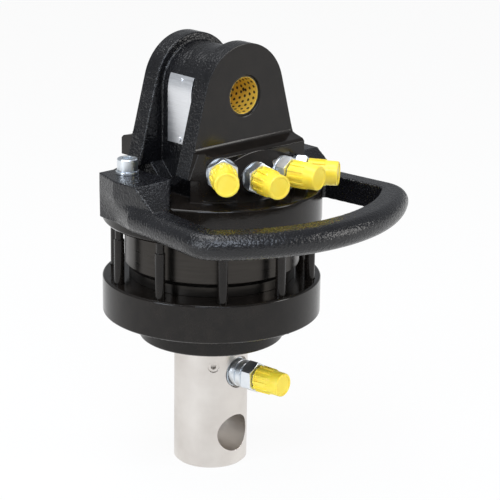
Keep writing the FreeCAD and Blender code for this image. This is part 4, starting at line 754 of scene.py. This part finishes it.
# %% Adapters of the shaft
BARREL_LENGTH = 13.0
SHAFT_HEXAGON = 10.0
BARREL = [
    (10.7, 0.0), (11.1, 0.4), (11.1, 5.6), (10.7, 6.0), (9.9, 6.2), (9.9, 6.8),
    (10.8, 7.0), (11.2, 7.4), (11.2, 11.6), (10.7, 12.2), (9.8, 12.5), (9.8, 13.5),
]

hexagon = chamfered_hexagon("shaft_hexagon", SHAFT_HEXAGON)
hexagon.data.transform(Matrix.Translation((0.0, 0.0, BARREL_LENGTH * MM)))
barrel = turned("shaft_barrel", BARREL)
neck = thread("shaft_neck", BARREL_LENGTH + SHAFT_HEXAGON, NECK_LENGTH)
stub = turned("shaft_stub", [(STUB_END, -11.5), (STUB_RADIUS, -11.0), (STUB_RADIUS, 0.5)])
adapter = joined("shaft_adapter", [hexagon, barrel, neck, stub])
shaft_adapters = at_ports("shaft_adapters", adapter, SHAFT_PORTS, SHAFT_SEAT + WASHER)
smooth(shaft_adapters)
hand_over(shaft_adapters, zinc, "zinc_steel", "shaft", "shaft_fittings")

# %% [markdown]
# A thread cap is a thin cup with a raised rim round its end. It is turned in one go, from the
# bottom of its inner wall round the mouth and along the outer wall to the middle of its end.

# %% The cap's cup
CAP_LENGTH = 24.0
CAP_RADIUS = 9.6
CAVITY_RADIUS = 8.35
CAVITY_DEPTH = 13.6
RIB_LENGTH = 16.0
END_RADIUS = CAP_RADIUS - 0.1


def cap_cup(name):
    """The cup of a cap along Z from its mouth: inner wall, outer wall and rimmed end."""
    outline = [(CAVITY_RADIUS, CAVITY_DEPTH), (CAVITY_RADIUS, 0.4), (CAVITY_RADIUS + 0.3, 0.0)]
    outline += [(CAP_RADIUS - 0.3, 0.0), (CAP_RADIUS, 0.3), (CAP_RADIUS, RIB_LENGTH - 1.0)]
    outline += [(END_RADIUS, CAP_LENGTH - 1.3), (END_RADIUS - 0.25, CAP_LENGTH - 0.45)]
    outline += [(END_RADIUS - 0.8, CAP_LENGTH), (END_RADIUS - 1.9, CAP_LENGTH)]
    outline += [(END_RADIUS - 2.3, CAP_LENGTH - 0.5), (1.6, CAP_LENGTH - 0.5)]
    outline += [(1.3, CAP_LENGTH - 0.7)]
    return turned(name, outline)


print("thread caps are", CAP_LENGTH, "mm long")

# %% [markdown]
# Twelve grip ribs stand on the cup's wall. One is modelled: a bar whose front is lowered to a
# slope and whose edges are bevelled. In edit mode it is copied and turned by one step, and the
# copy, which stays selected, is copied again. One union then makes cup and ribs a single skin,
# where twelve loose bars would leave walls inside the cap.

# %% The cap's ribs
RIBS = 12
RIB_WIDTH = 2.3
RIB_TOP = 10.75
RIB_SINK = 0.5
RIB_FALL = 0.35
RIB_SLOPE = 2.6
RIB_ROUND = 0.4


def cap_ribs():
    """The ribs of one cap, as one object round Z."""
    bpy.ops.mesh.primitive_cube_add(size=1.0)
    rib = bpy.context.object
    edit(rib)
    inner = CAP_RADIUS - RIB_SINK
    size = (RIB_WIDTH * MM, (RIB_TOP - inner) * MM, (RIB_LENGTH - 0.6) * MM)
    bpy.ops.transform.resize(value=size)
    middle = (0.0, (RIB_TOP + inner) / 2 * MM, (RIB_LENGTH + 0.6) / 2 * MM)
    bpy.ops.transform.translate(value=middle)
    pick(rib, lambda co: co.z > RIB_LENGTH / 2 * MM and co.y > (CAP_RADIUS + 0.2) * MM)
    bpy.ops.transform.translate(value=(0.0, -RIB_FALL * MM, -RIB_SLOPE * MM))
    bpy.ops.mesh.select_all(action="SELECT")
    bpy.ops.mesh.bevel(offset=RIB_ROUND * MM, segments=2, affect="EDGES")
    step = math.radians(360.0 / RIBS)
    for _ in range(RIBS - 1):
        bpy.ops.mesh.duplicate()
        bpy.ops.transform.rotate(value=step, orient_axis="Z", center_override=(0.0, 0.0, 0.0))
    leave()
    return rib


def thread_cap(name):
    """A whole cap: the cup and its ribs in one skin."""
    cup = cap_cup(name)
    ribs = cap_ribs()
    apply(cup, "BOOLEAN", operation="UNION", object=ribs, solver="EXACT")
    bpy.data.objects.remove(ribs)
    return cup


print("each cap has", RIBS, "ribs")

# %% [markdown]
# The caps are screwed on until their mouths almost touch the hexagons. The same cap fits the
# head's adapters and the longer ones of the shaft, which carry theirs round with them.

# %% Thread caps in place
HEAD_CAP_REACH = 9.6
SHAFT_CAP_REACH = 23.8

cap = thread_cap("thread_cap")
caps = at_ports("port_thread_caps", cap, HEAD_PORTS, HEAD_SEAT + WASHER + HEAD_CAP_REACH)
smooth(caps)
hand_over(caps, cap_yellow, "yellow_plastic", "head", "port_caps")

cap = thread_cap("shaft_cap")
reach = SHAFT_SEAT + WASHER + SHAFT_CAP_REACH
shaft_caps = at_ports("shaft_thread_caps", cap, SHAFT_PORTS, reach)
smooth(shaft_caps)
hand_over(shaft_caps, cap_yellow, "yellow_plastic", "shaft", "shaft_caps")

# %% [markdown]
# The product stands on plain white. More light would bleach the rotator too, so the pale floor
# is partly self-lit instead, and only for rays that come from the camera, from mirror-like
# surfaces or through clear ones. It stays near white, keeps a soft shadow and adds no light to
# the rotator's rough surfaces.

# %% Floor
FLOOR_SIZE = 16.0
GLOW = 0.93

bpy.ops.object.select_all(action="DESELECT")
bpy.ops.mesh.primitive_plane_add(size=FLOOR_SIZE, location=(0.0, 0.0, 0.0))
floor = bpy.context.object
floor.name = "studio_floor"
floor_paint = Recipe("floor_paint", (0.86, 0.86, 0.86), roughness=0.9)
speckle = floor_paint.noise(6.0)
floor_paint.tint(speckle, (0.85, 0.85, 0.85), (0.87, 0.87, 0.87))
glow = floor_paint.add("ShaderNodeEmission")
glow.inputs["Color"].default_value = (1.0, 1.0, 1.0, 1.0)
glow.inputs["Strength"].default_value = 1.0
ray = floor_paint.add("ShaderNodeLightPath")
seen = ray.outputs["Is Camera Ray"]
for kind in ("Is Transmission Ray", "Is Glossy Ray"):
    seen = floor_paint.maths("MAXIMUM", seen, ray.outputs[kind])
share = floor_paint.maths("MULTIPLY", seen, GLOW)
blend = floor_paint.add("ShaderNodeMixShader")
output = floor_paint.tree.nodes["Material Output"]
floor_paint.join(share, blend.inputs["Fac"])
floor_paint.join(floor_paint.shader.outputs["BSDF"], blend.inputs[1])
floor_paint.join(glow.outputs["Emission"], blend.inputs[2])
floor_paint.join(blend.outputs["Shader"], output.inputs["Surface"])
floor.data.materials.append(floor_paint.material)
print("floor:", FLOOR_SIZE, "m wide")

# %% [markdown]
# Gloss black shows its form only through what it mirrors, so the lamps are large and soft, and
# each draws a broad sheen: one from above, one along the left side, one bluish from the front
# like a window, and a weaker one from the right. The world fills the rest with a faint cool
# light, and the view stays on Standard, so that a colour renders about as it is written.

# %% Light
SKY_COLOUR = (0.93, 0.96, 1.0, 1.0)
SKY_STRENGTH = 0.36
MIDDLE = (0.0, 0.0, 0.2)

world = bpy.data.worlds.new("studio_world")
bpy.context.scene.world = world
world.use_nodes = True
sky = world.node_tree.nodes["Background"]
sky.inputs["Color"].default_value = SKY_COLOUR
sky.inputs["Strength"].default_value = SKY_STRENGTH


def soft_lamp(name, place, size, watts, colour):
    """A wide lamp at this place in metres, turned to the rotator's middle."""
    lamp = bpy.data.lights.new(name, "AREA")
    lamp.shape = "RECTANGLE"
    lamp.size, lamp.size_y = size
    lamp.energy = watts
    lamp.color = colour
    holder = bpy.data.objects.new(name, lamp)
    holder.location = place
    holder.rotation_euler = (Vector(MIDDLE) - Vector(place)).to_track_quat("-Z", "Y").to_euler()
    bpy.context.scene.collection.objects.link(holder)
    print(name, watts, "W")


soft_lamp("lamp_top", (-0.3, 0.2, 1.7), (1.2, 0.9), 15.0, (0.97, 0.98, 1.0))
soft_lamp("lamp_left", (-1.8, 0.1, 0.8), (0.6, 1.2), 15.0, (0.86, 0.92, 1.0))
soft_lamp("lamp_front", (-0.8, -1.0, 1.45), (1.0, 0.7), 16.0, (0.78, 0.86, 1.0))
soft_lamp("lamp_right", (1.1, -1.5, 0.8), (0.5, 1.0), 11.0, (1.0, 0.98, 0.95))
bpy.context.scene.view_settings.view_transform = "Standard"
